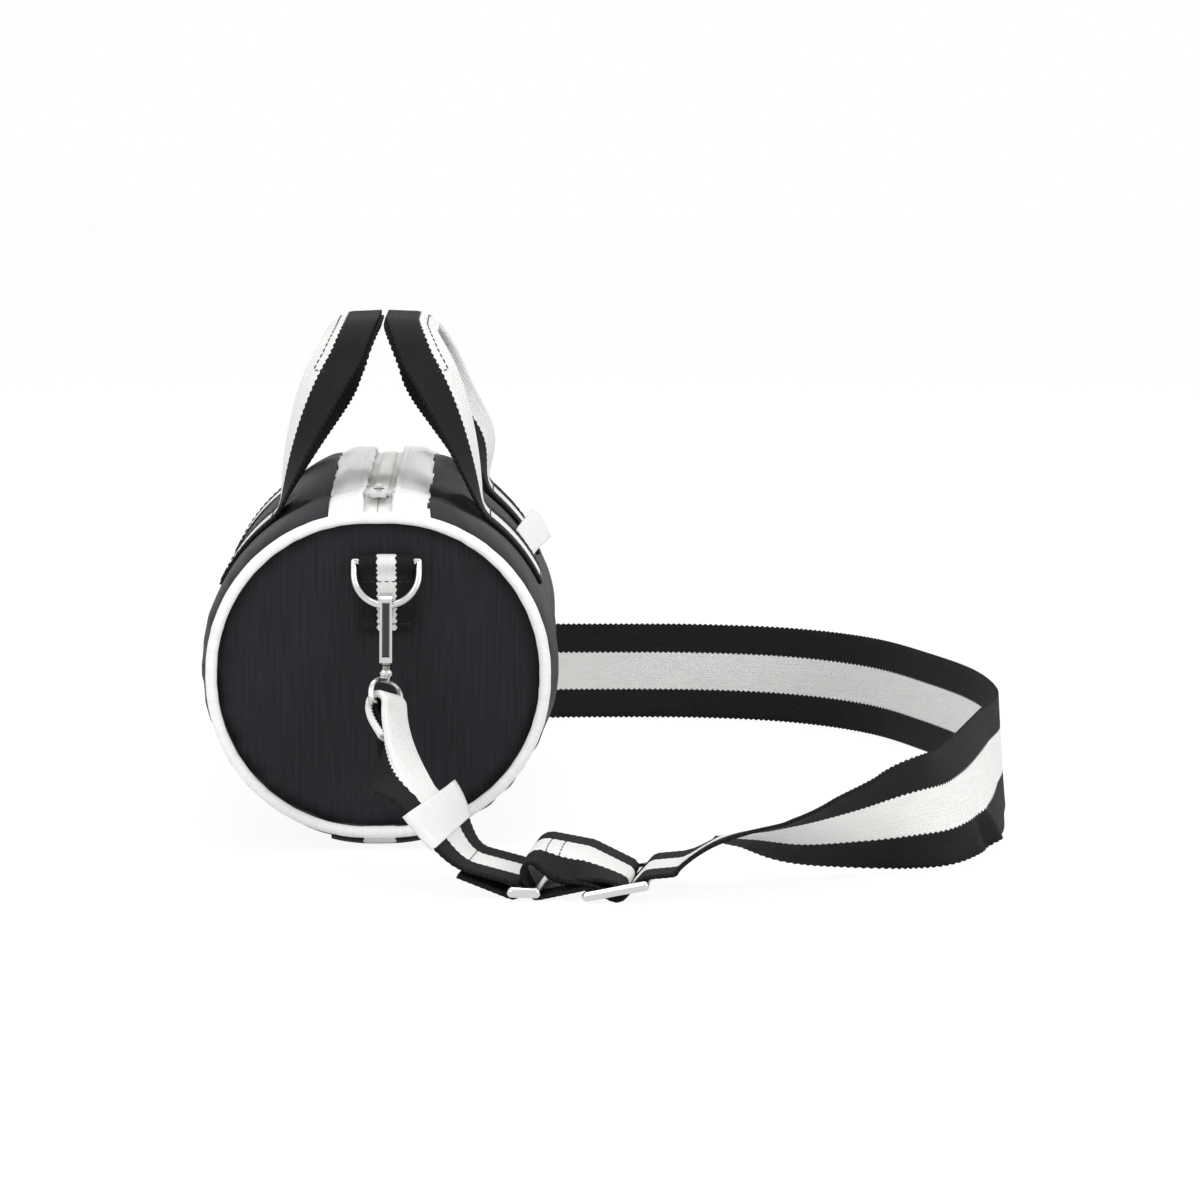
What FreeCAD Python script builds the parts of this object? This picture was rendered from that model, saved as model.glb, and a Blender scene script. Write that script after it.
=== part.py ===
"""A small barrel bag with a zipped top, two webbing handles and a clipped shoulder strap.

Millimetres. X runs across the bag, Y along it (the near end is at -Y), Z up from the floor.
The origin is on the floor under the middle of the bag.
"""
import FreeCAD, Part
import Sketcher
import math
import os
import re

Vector = FreeCAD.Vector
Rotation = FreeCAD.Rotation
Placement = FreeCAD.Placement

SIZES = {
    # the cloth barrel
    "body_length": 245,
    "body_width": 158,
    "body_height": 158,
    "end_narrowing": 8,
    "end_drop": 7,
    "end_bottom": 8,
    "least_flat": 3,
    "end_rounding": 24,
    "cloth": 1.6,
    "seam_gap": 0.15,
    "piping_diameter": 4.6,
    "binding_length": 10,
    "binding_thickness": 1.4,
    # the zip in its white panel
    "zip_panel_width": 44,
    "zip_slit": 13,
    "tape_width": 16,
    "tape_gap": 1.1,
    "tape_thickness": 0.6,
    "tooth_pitch": 3,
    "tooth_width": 1.2,
    "tooth_reach": 0.8,
    "tooth_height": 1.6,
    "tooth_rail": 1.6,
    "stop_length": 3,
    "slider_width": 10.4,
    "slider_length": 11,
    "slider_plate": 1,
    "slider_clearance": 0.3,
    "crown_width": 2.4,
    "crown_gap": 2.2,
    "pull_length": 25,
    "pull_width": 8,
    "pull_thickness": 1.5,
    "pull_window_width": 4.6,
    "pull_window_length": 5.6,
    # the webbing
    "webbing_width": 50,
    "webbing": 1.6,
    "webbing_gap": 0.3,
    "base_webbing_width": 43,
    "tab_webbing_width": 24,
    "tab_webbing": 1.4,
    # the handles
    "leg_spacing": 104,
    "leg_angle": 33,
    "sewn_angle": 32,
    "grip_rise": 72,
    "grip_length": 44,
    "grip_gap": 0.8,
    "grip_fold": 87,
    "leg_pull": 52,
    "grip_pull": 34,
    "side_label_height": 14,
    "side_label_length": 30,
    "side_label_angle": 50,
    "label_thickness": 1,
    # the D-rings in their tabs
    "tab_offset": 4,
    "tab_drop": 20,
    "tab_length": 31,
    "ring_wire": 3.2,
    "d_ring_inner_width": 25.6,
    "d_ring_depth": 20,
    "d_ring_tilt": 20,
    # the snap hooks
    "hook_length": 33,
    "hook_thickness": 5.5,
    "hook_stock": 3,
    "hook_inner_radius": 3.8,
    "hook_base": 6,
    "hook_hang_gap": 1.2,
    "hook_lean": 20,
    "nose_drop": 3,
    "gate_thickness": 3.2,
    "gate_depth": 2.4,
    "gate_clearance": 0.3,
    "gate_pin": 1,
    "gate_pivot_drop": 1.4,
    "spring_leaf": 0.3,
    "spring_width": 1.6,
    "stud_diameter": 4,
    "stud_head": 1.4,
    "stud_head_diameter": 5.6,
    "stud_clearance": 0.3,
    "neck_length": 4.9,
    "eye_inner_width": 20.6,
    "eye_inner_height": 8,
    "near_eye_yaw": 58,
    "far_eye_yaw": -32,
    # the shoulder strap and its adjuster
    "folded_width": 20,
    "folded_thickness": 3.2,
    "strap_heading": -9,
    "ring_lead": 47,
    "strap_ring_reach": 60,
    "strap_ring_bar_spacing": 10,
    "strap_ring_wire": 4,
    "strap_ring_rail": 4.6,
    "adjuster_reach": 104,
    "adjuster_bar_spacing": 12.5,
    "adjuster_wire": 3.6,
    "adjuster_rail": 4.2,
    "adjuster_tilt": 12,
    "strap_tail": 24,
    "slope_rise": 6,
    "eye_pull": 28,
    "ring_pull": 26,
    "floor_pull": 44,
    "rise_pull": 40,
    "arch_radius": 7,
    "arch_height": 8.5,
}

# Hand-chosen route of the long strap on the floor. Each point is its x, its share of the bag's half
# length and how far it lies beyond that along the bag, the height of the strap's middle, and its
# roll from lying flat (0) to standing on edge (90) and past it.
STRAP_ROUTE = [
    (149, -1, -94.5, 24, 12), (167, -1, -87.5, 24.5, 22), (188, -1, -77, 23.3, 42),
    (212, -1, -65, 24.5, 61), (234, -1, -55.5, 26.8, 85), (252, -1, -45.5, 25.9, 108),
    (262, -1, -25.5, 27.5, 116), (266, -1, 6.5, 29, 114), (278, -0.5, -2.75, 28, 103),
    (292, 0, -4, 26, 93), (288, 0.5, 0.75, 25.8, 90), (270, 1, -0.5, 25.8, 90),
    (246, 1, 51.5, 25.8, 90), (208, 1, 86.5, 25.8, 90), (160, 1, 102.5, 25.8, 90),
    (108, 1, 105.5, 25.8, 90), (72, 1, 103.5, 26, 88),
]

doc = FreeCAD.newDocument("BarrelBag")
sheet = doc.addObject("Spreadsheet::Sheet", "Sizes")
for row, (name, value) in enumerate(SIZES.items(), start=1):
    sheet.set(f"A{row}", name)
    sheet.set(f"B{row}", str(value))
    sheet.setAlias(f"B{row}", name)
doc.recompute()


def number(formula):
    """The value of a formula in the sheet's names."""
    return float(sheet.evalExpression(formula))


size = {name: number(name) for name in SIZES}
nodes = {}


def keep(label, thing, placement=None):
    """Name a finished sub-part, and put it in its place."""
    thing.Label = label
    if placement is not None:
        thing.Placement = placement
    nodes[label] = thing
    return thing


def soft(label, shape):
    """A cloth or webbing sub-part, shaped directly."""
    thing = doc.addObject("Part::Feature", label)
    thing.Shape = shape
    return keep(label, thing)


def bound(thing, formulas):
    """Tie properties of an object to formulas in the sheet's names."""
    for path, formula in formulas.items():
        thing.setExpression(path, formula)
    return thing


def primitive(kind, name, formulas, at=(), turn=Rotation()):
    """A Part primitive whose sizes and position follow the sheet."""
    thing = doc.addObject(f"Part::{kind}", name)
    thing.Placement = Placement(Vector(), turn)
    bound(thing, formulas)
    return bound(thing, dict(zip(("Placement.Base.x", "Placement.Base.y", "Placement.Base.z"), at)))


def joined(name, pieces):
    """Several overlapping or touching objects as one solid."""
    thing = doc.addObject("Part::MultiFuse", name)
    thing.Shapes = pieces
    thing.Refine = True
    return thing


def cut(name, base, tool):
    """One object less another."""
    thing = doc.addObject("Part::Cut", name)
    thing.Base = base
    thing.Tool = tool
    return thing


def outline(body, name, role, points):
    """A closed sketch on one of the body's own planes.

    Each point is a pair of formulas; a third entry is the height formula of the centre of a
    counter-clockwise arc that leads to the next point.
    """
    sketch = body.newObject("Sketcher::SketchObject", name)
    plane = next(item for item in body.Origin.OriginFeatures if item.Role == role)
    sketch.AttachmentSupport = [(plane, "")]
    sketch.MapMode = "FlatFace"
    places = [Vector(number(point[0]), number(point[1]), 0) for point in points]
    for index, point in enumerate(points):
        start = places[index]
        end = places[(index + 1) % len(points)]
        if len(point) == 3:
            middle = (start + end) * 0.5
            centre = Vector(middle.x, number(point[2]), 0)
            circle = Part.Circle(centre, Vector(0, 0, 1), (start - centre).Length)
            first = math.atan2(start.y - centre.y, start.x - centre.x)
            last = math.atan2(end.y - centre.y, end.x - centre.x)
            sketch.addGeometry(Part.ArcOfCircle(circle, first, last), False)
        else:
            sketch.addGeometry(Part.LineSegment(start, end), False)
    for index in range(len(points)):
        sketch.addConstraint(Sketcher.Constraint("Coincident", index, 2, (index + 1) % len(points), 1))
    for index, point in enumerate(points):
        for kind, formula, corner in (("DistanceX", point[0], 1), ("DistanceY", point[1], 1)):
            place = number(formula)
            added = sketch.addConstraint(Sketcher.Constraint(kind, -1, 1, index, corner, place))
            sketch.setExpression(f"Constraints[{added}]", sheet_names(formula))
        if len(point) == 3:
            place = number(point[2])
            added = sketch.addConstraint(Sketcher.Constraint("DistanceY", -1, 1, index, 3, place))
            sketch.setExpression(f"Constraints[{added}]", sheet_names(point[2]))
    return sketch


def round_hole(body, name, role, radius, x="0", y="0"):
    """A circle sketched on one of the body's own planes."""
    sketch = body.newObject("Sketcher::SketchObject", name)
    plane = next(item for item in body.Origin.OriginFeatures if item.Role == role)
    sketch.AttachmentSupport = [(plane, "")]
    sketch.MapMode = "FlatFace"
    sketch.addGeometry(Part.Circle(Vector(number(x), number(y), 0), Vector(0, 0, 1), number(radius)), False)
    for kind, formula in (("DistanceX", x), ("DistanceY", y)):
        added = sketch.addConstraint(Sketcher.Constraint(kind, -1, 1, 0, 3, number(formula)))
        sketch.setExpression(f"Constraints[{added}]", sheet_names(formula))
    added = sketch.addConstraint(Sketcher.Constraint("Radius", 0, number(radius)))
    sketch.setExpression(f"Constraints[{added}]", sheet_names(radius))
    return sketch


def sheet_names(formula):
    """The same formula for an object outside the sheet."""
    return re.sub(r"[a-z_]{2,}", lambda word: f"Sizes.{word[0]}", formula)


def pad(body, sketch, length):
    """Thicken a sketch, evenly to both sides."""
    feature = body.newObject("PartDesign::Pad", f"{sketch.Name}Pad")
    feature.Profile = sketch
    feature.Midplane = True
    feature.setExpression("Length", sheet_names(length))
    return feature


def pocket(body, sketch, length):
    """Cut a sketch evenly to both sides."""
    feature = body.newObject("PartDesign::Pocket", f"{sketch.Name}Pocket")
    feature.Profile = sketch
    feature.Midplane = True
    feature.setExpression("Length", sheet_names(length))
    return feature


def rectangle(left, right, low, high):
    """The four corners of a rectangle, as formulas."""
    return [(left, low), (right, low), (right, high), (left, high)]


# The cloth barrel: stadium sections that swell from the end seams to the middle.
SHOULDER_SHARES = (0, 0.35, 1)
TOP_STEPS = 6
WRAP_TURN = 45
half_length = size["body_length"] / 2
base_height = size["webbing"] + size["seam_gap"]


def section(swell):
    """The barrel's section, 0 at a seam and 1 amidships: a rectangle with wide round corners.

    Half of its level flats, the corners' radius, and the heights of the upper and lower corners'
    centres.
    """
    def between(seam, middle):
        return seam + (middle - seam) * swell
    width = size["body_width"] - between(size["end_narrowing"], 0)
    top = size["body_height"] - between(size["end_drop"], 0)
    bottom = between(size["end_bottom"], base_height)
    radius = min(width - size["least_flat"], top - bottom - size["least_flat"]) / 2
    return width / 2 - radius, radius, top - radius, bottom + radius


def swollen_stations():
    """Places along the bag, each with its section, with round shoulders at both ends."""
    stations = []
    for share in SHOULDER_SHARES:
        swell = math.sqrt(1 - (1 - share) ** 2)
        stations.append((-half_length + share * size["end_rounding"], section(swell)))
    return stations + [(-y, shape) for y, shape in reversed(stations)]


def on_section(shape, inset, side, angle, y):
    """A point on a section's upper corners (0 to 90 from straight up) or lower ones (-90 to -180)."""
    flat, radius, high, low = shape
    reach = radius - inset
    turned = math.radians(abs(angle))
    return Vector(side * (flat + reach * math.sin(turned)), y,
                  (high if angle >= 0 else low) + reach * math.cos(turned))


def arc_on(shape, inset, side, first, last, y):
    """An arc of a section between two angles."""
    angles = (first, (first + last) / 2, last)
    return Part.Arc(*[on_section(shape, inset, side, angle, y) for angle in angles]).toShape()


def line(start, end):
    return Part.LineSegment(start, end).toShape()


def side_and_floor(shape, inset, y):
    """A section's edges below its upper corners, from one side under the bag to the other."""
    def at(side, angle):
        return on_section(shape, inset, side, angle, y)
    return [line(at(1, 90), at(1, -90)), arc_on(shape, inset, 1, -90, -180, y),
            line(at(1, -180), at(-1, -180)),
            arc_on(shape, inset, -1, -180, -90, y), line(at(-1, -90), at(-1, 90))]


def stadium(shape, inset, y):
    """The closed outline of a section."""
    edges = [arc_on(shape, inset, 1, 0, 90, y)] + side_and_floor(shape, inset, y)
    edges.append(arc_on(shape, inset, -1, 90, 0, y))
    edges.append(line(on_section(shape, inset, -1, 0, y), on_section(shape, inset, 1, 0, y)))
    return Part.Wire(edges)


def top_height(shape, inset, x):
    """The height of a section's upper side at x."""
    flat, radius, high, low = shape
    reach = radius - inset
    return high + math.sqrt(reach ** 2 - max(abs(x) - flat, 0) ** 2)


def top_edge(shape, inset, first, last, y):
    """A smooth edge on a section's upper side between two places across the bag."""
    points = []
    for step in range(TOP_STEPS + 1):
        x = first + (last - first) * step / TOP_STEPS
        points.append(Vector(x, y, top_height(shape, inset, x)))
    curve = Part.BSplineCurve()
    curve.interpolate(points)
    return curve.toShape()


def wrap_section(shape, y):
    """The body cloth's section: from one edge of the zip panel round the bottom to the other."""
    edge = size["zip_panel_width"] / 2
    wall = size["cloth"]
    flat, radius, high, low = shape
    turn_x = flat + (radius - wall) * math.sin(math.radians(WRAP_TURN))
    outer_turn = math.degrees(math.asin((turn_x - flat) / radius))

    def skin(inset, turn):
        return ([top_edge(shape, inset, edge, turn_x, y), arc_on(shape, inset, 1, turn, 90, y)]
                + side_and_floor(shape, inset, y)
                + [arc_on(shape, inset, -1, 90, turn, y), top_edge(shape, inset, -turn_x, -edge, y)])

    def rim(x):
        return line(Vector(x, y, top_height(shape, 0, x)), Vector(x, y, top_height(shape, wall, x)))
    edges = skin(0, outer_turn) + [rim(-edge)] + skin(wall, WRAP_TURN) + [rim(edge)]
    return Part.Wire(Part.__sortEdges__(edges))


def tape_top(shape):
    """The zip tape lies under the panel strips, flat across."""
    return top_height(shape, size["cloth"], size["tape_width"]) - size["seam_gap"]


soft("body_panel", Part.makeLoft([wrap_section(shape, y) for y, shape in swollen_stations()], True, True))

end_shape = section(0)
tape_notch = Part.makeBox(2 * size["tape_width"] + 2 * size["seam_gap"], 2 * size["body_length"],
                          size["body_width"])
tape_notch.translate(Vector(-size["tape_width"] - size["seam_gap"], -size["body_length"],
                            tape_top(end_shape) - size["tape_thickness"] - size["seam_gap"]))
for end, side in (("near", -1), ("far", 1)):
    inset = size["cloth"] + size["seam_gap"]
    face = Part.Face(stadium(end_shape, inset, side * half_length))
    soft(f"{end}_end_panel", face.extrude(Vector(0, -side * size["cloth"], 0)).cut(tape_notch))
    # The piping sits on the seam where the barrel meets the end panel.
    bead = size["piping_diameter"] / 2
    seam = size["cloth"] / 2
    path = stadium(end_shape, seam, side * (half_length + bead))
    cord = on_section(end_shape, seam, 1, 0, side * (half_length + bead))
    ring = Part.Circle(cord, Vector(1, 0, 0), bead)
    soft(f"{end}_piping", path.makePipeShell([Part.Wire(ring.toShape())], True, False))
    # Inside, a tape binds the raw edges of the same seam.
    start = side * (half_length - size["cloth"] - size["seam_gap"])
    outer = Part.Face(stadium(end_shape, inset, start))
    inner = Part.Face(stadium(end_shape, inset + size["binding_thickness"], start))
    binding = outer.cut(inner).extrude(Vector(0, -side * size["binding_length"], 0))
    soft(f"{end}_seam_binding", binding.cut(tape_notch))


# The webbing strip that runs lengthwise under the bag and is its flat foot.
def strip_section(left, right, low, high, y):
    corners = [Vector(left, y, low), Vector(right, y, low), Vector(right, y, high), Vector(left, y, high)]
    return Part.makePolygon(corners + corners[:1])


half_base = size["base_webbing_width"] / 2
base_sections = []
for y, shape in swollen_stations():
    bottom = shape[3] - shape[1] - size["seam_gap"]
    base_sections.append(strip_section(-half_base, half_base, bottom - size["webbing"], bottom, y))
soft("base_webbing", Part.makeLoft(base_sections, True, True))

# The top: two white cloth strips with the zip between them.
middle_shape = section(1)
panel_edge = size["zip_panel_width"] / 2
slit_edge = size["zip_slit"] / 2


def zip_panel_section(side, shape, y):
    near_x, far_x = side * slit_edge, side * panel_edge
    wall = size["cloth"]

    def rim(x):
        return line(Vector(x, y, top_height(shape, 0, x)), Vector(x, y, top_height(shape, wall, x)))
    edges = [top_edge(shape, 0, near_x, far_x, y), rim(far_x)]
    edges += [top_edge(shape, wall, far_x, near_x, y), rim(near_x)]
    return Part.Wire(edges)


def tape_section(side, shape, y):
    top = tape_top(shape)
    near_x = side * size["tape_gap"]
    far_x = side * size["tape_width"]
    return strip_section(near_x, far_x, top - size["tape_thickness"], top, y)


slider_half = size["slider_length"] / 2
chain_end = half_length - size["end_rounding"]
slider_start = -chain_end + size["stop_length"] + slider_half + size["slider_clearance"]
teeth_floor = tape_top(middle_shape)
for name, side in (("left", -1), ("right", 1)):
    stations = swollen_stations()
    panel = [zip_panel_section(side, shape, y) for y, shape in stations]
    soft(f"zip_panel_{name}", Part.makeLoft(panel, True, True))
    tape = [tape_section(side, shape, y) for y, shape in stations]
    soft(f"zip_tape_{name}", Part.makeLoft(tape, True, True))
    # Moulded teeth on a bead along the tape's edge, meshing with the other side's.
    rail_near = size["tooth_reach"] + size["seam_gap"]
    rail = Part.makeBox(size["tooth_rail"], chain_end - slider_start, size["tooth_height"],
                        Vector(rail_near, slider_start, teeth_floor))
    shift = size["tooth_pitch"] / 2 if side > 0 else 0
    count = int((chain_end - slider_start - size["tooth_pitch"]) / size["tooth_pitch"])
    teeth = [Part.makeBox(rail_near + size["tooth_reach"], size["tooth_width"], size["tooth_height"],
                          Vector(-size["tooth_reach"], slider_start + shift + index * size["tooth_pitch"],
                                 teeth_floor))
             for index in range(count)]
    row = rail.multiFuse(teeth)
    soft(f"zip_teeth_{name}", row if side > 0 else row.mirror(Vector(), Vector(1, 0, 0)))

stop_height = size["tooth_height"]
stop_width = size["tooth_rail"] + size["tooth_reach"]
top_stops = [Part.makeBox(stop_width, size["stop_length"], stop_height,
                          Vector(x, -chain_end, teeth_floor))
             for x in (size["tape_gap"], -size["tape_gap"] - stop_width)]
soft("zip_top_stops", Part.makeCompound(top_stops))
soft("zip_bottom_stop", Part.makeBox(2 * stop_width, size["stop_length"], stop_height,
                                     Vector(-stop_width, chain_end + size["seam_gap"], teeth_floor)))

# The slider: two plates joined by a post, with flanges that leave a slot for the tapes, and a
# crown that holds the pull.
slider = doc.addObject("PartDesign::Body", "ZipSlider")
plate_low = "tooth_height + slider_clearance"
plate_high = f"{plate_low} + slider_plate"
under_high = "-tape_thickness - slider_clearance"
under_low = f"{under_high} - slider_plate"
half_width = "slider_width / 2"
post = "crown_width / 3"
slider_back = "-slider_length / 2"
slider_outline = [
    ("-slider_width / 2", under_low), (half_width, under_low), (half_width, under_high),
    ("slider_width / 2 - slider_plate", under_high), (post, under_high),
    (post, plate_low), ("slider_width / 2 - slider_plate", plate_low),
    ("slider_width / 2 - slider_plate", "slider_clearance"), (half_width, "slider_clearance"),
    (half_width, plate_high), ("-slider_width / 2", plate_high), ("-slider_width / 2", "slider_clearance"),
    ("-slider_width / 2 + slider_plate", "slider_clearance"),
    ("-slider_width / 2 + slider_plate", plate_low), (f"-{post}", plate_low),
    (f"-{post}", under_high), ("-slider_width / 2", under_high),
]
pad(slider, outline(slider, "SliderPlates", "XZ_Plane", slider_outline), "slider_length")
throat = outline(slider, "SliderThroat", "YZ_Plane",
                 rectangle(f"{slider_back} + 3 * slider_plate", "slider_length", under_high, plate_low))
pocket(slider, throat, "slider_width - 2 * slider_plate")
crown_high = f"{plate_high} + crown_gap + slider_plate"
crown_reach = "slider_length / 2 - slider_plate"
crown_inner = "slider_length / 2 - 2 * slider_plate"
crown = [
    (f"{slider_back} + slider_plate", plate_high), (f"{slider_back} + 2 * slider_plate", plate_high),
    (f"{slider_back} + 2 * slider_plate", f"{plate_high} + crown_gap"),
    (crown_inner, f"{plate_high} + crown_gap"), (crown_inner, plate_high), (crown_reach, plate_high),
    (crown_reach, crown_high), (f"{slider_back} + slider_plate", crown_high),
]
pad(slider, outline(slider, "SliderCrown", "YZ_Plane", crown), "crown_width")
slider_place = Placement(Vector(0, slider_start, teeth_floor), Rotation())
keep("zip_slider", slider, slider_place)

# The pull: a flat tab with a window that rides on the crown.
pull = doc.addObject("PartDesign::Body", "ZipPull")
pull_top = "pull_thickness / 2"
tab = [
    ("-pull_width / 2", "-pull_length + pull_width / 2", "-pull_length + pull_width / 2"),
    ("pull_width / 2", "-pull_length + pull_width / 2"), ("pull_width / 2", pull_top),
    ("-pull_width / 2", pull_top),
]
pad(pull, outline(pull, "PullTab", "XY_Plane", tab), "pull_thickness")
window = rectangle("-pull_window_width / 2", "pull_window_width / 2",
                   "-pull_thickness / 2 - pull_window_length", "-pull_thickness / 2")
pocket(pull, outline(pull, "PullWindow", "XY_Plane", window), "2 * pull_thickness")
pull_height = number(f"{plate_high} + crown_gap / 2")
keep("zip_pull", pull, Placement(slider_place.Base + Vector(0, 0, pull_height), Rotation()))

# The sewn ends of the handles and the side label lie on the barrel's straight middle.
flat, radius, high, low = middle_shape


def wrapped_patch(label, side, low_angle, turn, thickness, length, y):
    """A patch of the given thickness wrapped on the side of the barrel."""
    inner = radius + size["seam_gap"]
    spin = Rotation(Vector(1, 0, 0), -90)
    start = -90 + low_angle if side > 0 else -90 - low_angle - turn
    placement = Placement(Vector(side * flat, y - length / 2, high), spin).multiply(
        Placement(Vector(), Rotation(Vector(0, 0, 1), start)))
    solid = Part.makeCylinder(inner + thickness, length, Vector(), Vector(0, 0, 1), turn)
    hollow = Part.makeCylinder(inner, length, Vector(), Vector(0, 0, 1), turn)
    patch = solid.cut(hollow)
    patch.Placement = placement
    return soft(label, patch)


for name, side in (("left", -1), ("right", 1)):
    for end, along in (("near", -1), ("far", 1)):
        wrapped_patch(f"{name}_handle_{end}_end", side, size["leg_angle"], size["sewn_angle"],
                      size["webbing"], size["webbing_width"], along * size["leg_spacing"] / 2)
label_turn = math.degrees(size["side_label_height"] / radius)
wrapped_patch("side_label", 1, size["side_label_angle"], label_turn, size["label_thickness"],
              size["side_label_length"], 0)


# Webbing as a ruled band through its cross-sections.
def cross_section(centre, across, along, width, thickness):
    """The corners of the webbing's section: its width runs along across."""
    across = Vector(across).normalize()
    normal = Vector(along).cross(across).normalize()
    half = across * (width / 2)
    raised = normal * (thickness / 2)
    return [centre - half - raised, centre + half - raised, centre + half + raised, centre - half + raised]


def ruled(rings):
    """A solid with ruled sides through rings of corners."""
    faces = [Part.Face(Part.makePolygon(ring + ring[:1])) for ring in (rings[0], rings[-1])]
    for before, after in zip(rings, rings[1:]):
        for corner in range(len(before)):
            following = (corner + 1) % len(before)
            faces.append(Part.makeRuledSurface(line(before[corner], after[corner]),
                                               line(before[following], after[following])))
    shell = Part.Shell(faces)
    shell.sewShape()
    solid = Part.Solid(shell)
    if solid.Volume < 0:
        solid.reverse()
    return solid


def band(stations):
    """Webbing through stations of centre, across, along, width and thickness."""
    return ruled([cross_section(*station) for station in stations])


def blend_run(start, start_pull, end, end_pull, count):
    """Points and directions of a smooth run between two points."""
    points = [start, start + start_pull, end - end_pull, end]
    places = []
    for index in range(count + 1):
        t = index / count
        weights = ((1 - t) ** 3, 3 * t * (1 - t) ** 2, 3 * t ** 2 * (1 - t), t ** 3)
        slopes = (-(1 - t) ** 2, (1 - t) * (1 - 3 * t), t * (2 - 3 * t), t ** 2)
        place = sum((p * w for p, w in zip(points, weights)), Vector())
        slope = sum((p * w for p, w in zip(points, slopes)), Vector())
        places.append((place, slope.normalize(), t))
    return places


def eased(t):
    """0 to 1 with a gentle start and end."""
    return t * t * (3 - 2 * t)


# The handles: each leg rises flat from its fold at the sewn end, and closes lengthwise like a book
# until it is double in the grip, with its spine on the outside.
LEG_STEPS = 10
FOLD_SHARE = 0.8
FLAT_FOLD = 3
fold_gap = size["webbing"] / 2 + size["webbing_gap"]
fold_radius = radius + size["seam_gap"] + size["webbing"] + fold_gap
fold_angle = math.radians(size["leg_angle"])
fold_x = flat + fold_radius * math.sin(fold_angle)
fold_z = high + fold_radius * math.cos(fold_angle)
grip_z = size["body_height"] + size["grip_rise"]
spine_x = size["grip_gap"] / 2 + size["webbing_width"] / 2 + size["webbing"] / 2
leg_y = size["leg_spacing"] / 2


def folded_section(spine, outward, sideways, fold):
    """The corners of webbing closed about its spine by an angle on each side: 0 is flat, 90 shut."""
    half = size["webbing_width"] / 2
    thick = size["webbing"] / 2
    lean, open_share = math.sin(math.radians(fold)), math.cos(math.radians(fold))
    outer, inner, ridge = [], [], []
    for sign in (1, -1):
        reach = sideways * (sign * open_share) - outward * lean
        normal = outward * open_share + sideways * (sign * lean)
        ridge.append(spine + normal * thick)
        outer.append(spine + reach * half + normal * thick)
        inner.append(spine + reach * half - normal * thick)
    apex = spine - outward * (thick / open_share)
    return [outer[0], ridge[0], ridge[1], outer[1], inner[1], apex, inner[0]]


for name, side in (("left", -1), ("right", 1)):
    foot = Vector(side * fold_x, -leg_y, fold_z)
    crest = Vector(side * spine_x, -size["grip_length"] / 2, grip_z)
    leg = []
    up, level = Vector(0, 0, size["leg_pull"]), Vector(0, size["grip_pull"], 0)
    for place, along, t in blend_run(foot, up, crest, level, LEG_STEPS):
        outward = Vector(side, 0, 0)
        outward = (outward - along * outward.dot(along)).normalize()
        fold = FLAT_FOLD + (size["grip_fold"] - FLAT_FOLD) * eased(min(1, t / FOLD_SHARE))
        leg.append(folded_section(place, outward, along.cross(outward), fold))
    back = [[Vector(corner.x, -corner.y, corner.z) for corner in ring] for ring in reversed(leg)]
    soft(f"{name}_handle", ruled(leg + back))


# The clips at both ends: a tab with a D-ring, and a snap hook with a swivelling eye.
bar_reach = size["tab_webbing"] + size["ring_wire"] / 2 + size["webbing_gap"]
bar_y = -(half_length + size["seam_gap"] + bar_reach)
bar_z = size["body_height"] - size["end_drop"] - size["tab_drop"]
bar_place = Vector(size["tab_offset"], bar_y, bar_z)
tilt = math.radians(size["d_ring_tilt"])
hang_place = bar_place + Vector(0, -math.sin(tilt), -math.cos(tilt)) * size["d_ring_depth"]
half_turn = Placement(Vector(), Rotation(Vector(0, 0, 1), 180))
hook_axis = Placement(hang_place, Rotation(Vector(1, 0, 0), -size["hook_lean"]))
hook_outer = "(hook_inner_radius + hook_stock)"
bend_height = f"(hook_length - {hook_outer})"
wire_height = number(f"{bend_height} + hook_inner_radius - ring_wire / 2 - hook_hang_gap")
hook_frame = hook_axis.multiply(Placement(Vector(0, 0, -wire_height), Rotation()))
eye_low = -(size["neck_length"] + size["ring_wire"] / 2 + size["eye_inner_height"] + size["ring_wire"])


def placed(end, placement):
    """The same place at the near end or, turned half round, at the far end."""
    return placement if end == "near" else half_turn.multiply(placement)


def eye_frame(end):
    """The swivelling eye's frame: X along its bar, Z up the hook."""
    return placed(end, hook_frame).multiply(
        Placement(Vector(), Rotation(Vector(0, 0, 1), size[f"{end}_eye_yaw"])))


def wire_loop(name, inner_width, inner_height, wire):
    """A rounded rectangular loop of round wire in the XZ plane, its top bar's middle at the origin."""
    reach = f"({inner_width} + {wire}) / 2"
    drop = f"({inner_height} + {wire})"
    radius = f"{wire} / 2"
    sideways = Rotation(Vector(0, 1, 0), 90)
    pieces = []
    for place, height in (("Top", "0 mm"), ("Low", f"-{drop} * 1 mm")):
        pieces.append(primitive("Cylinder", f"{name}{place}", {"Radius": radius, "Height": f"2 * {reach}"},
                                (f"-{reach} * 1 mm", "0 mm", height), sideways))
    for place, sign in (("Left", "-"), ("Right", "")):
        pieces.append(primitive("Cylinder", f"{name}{place}", {"Radius": radius, "Height": drop},
                                (f"{sign}{reach} * 1 mm", "0 mm", f"-{drop} * 1 mm")))
        for corner, height in (("Top", "0 mm"), ("Low", f"-{drop} * 1 mm")):
            pieces.append(primitive("Sphere", f"{name}{place}{corner}", {"Radius": radius},
                                    (f"{sign}{reach} * 1 mm", "0 mm", height)))
    return pieces


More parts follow.
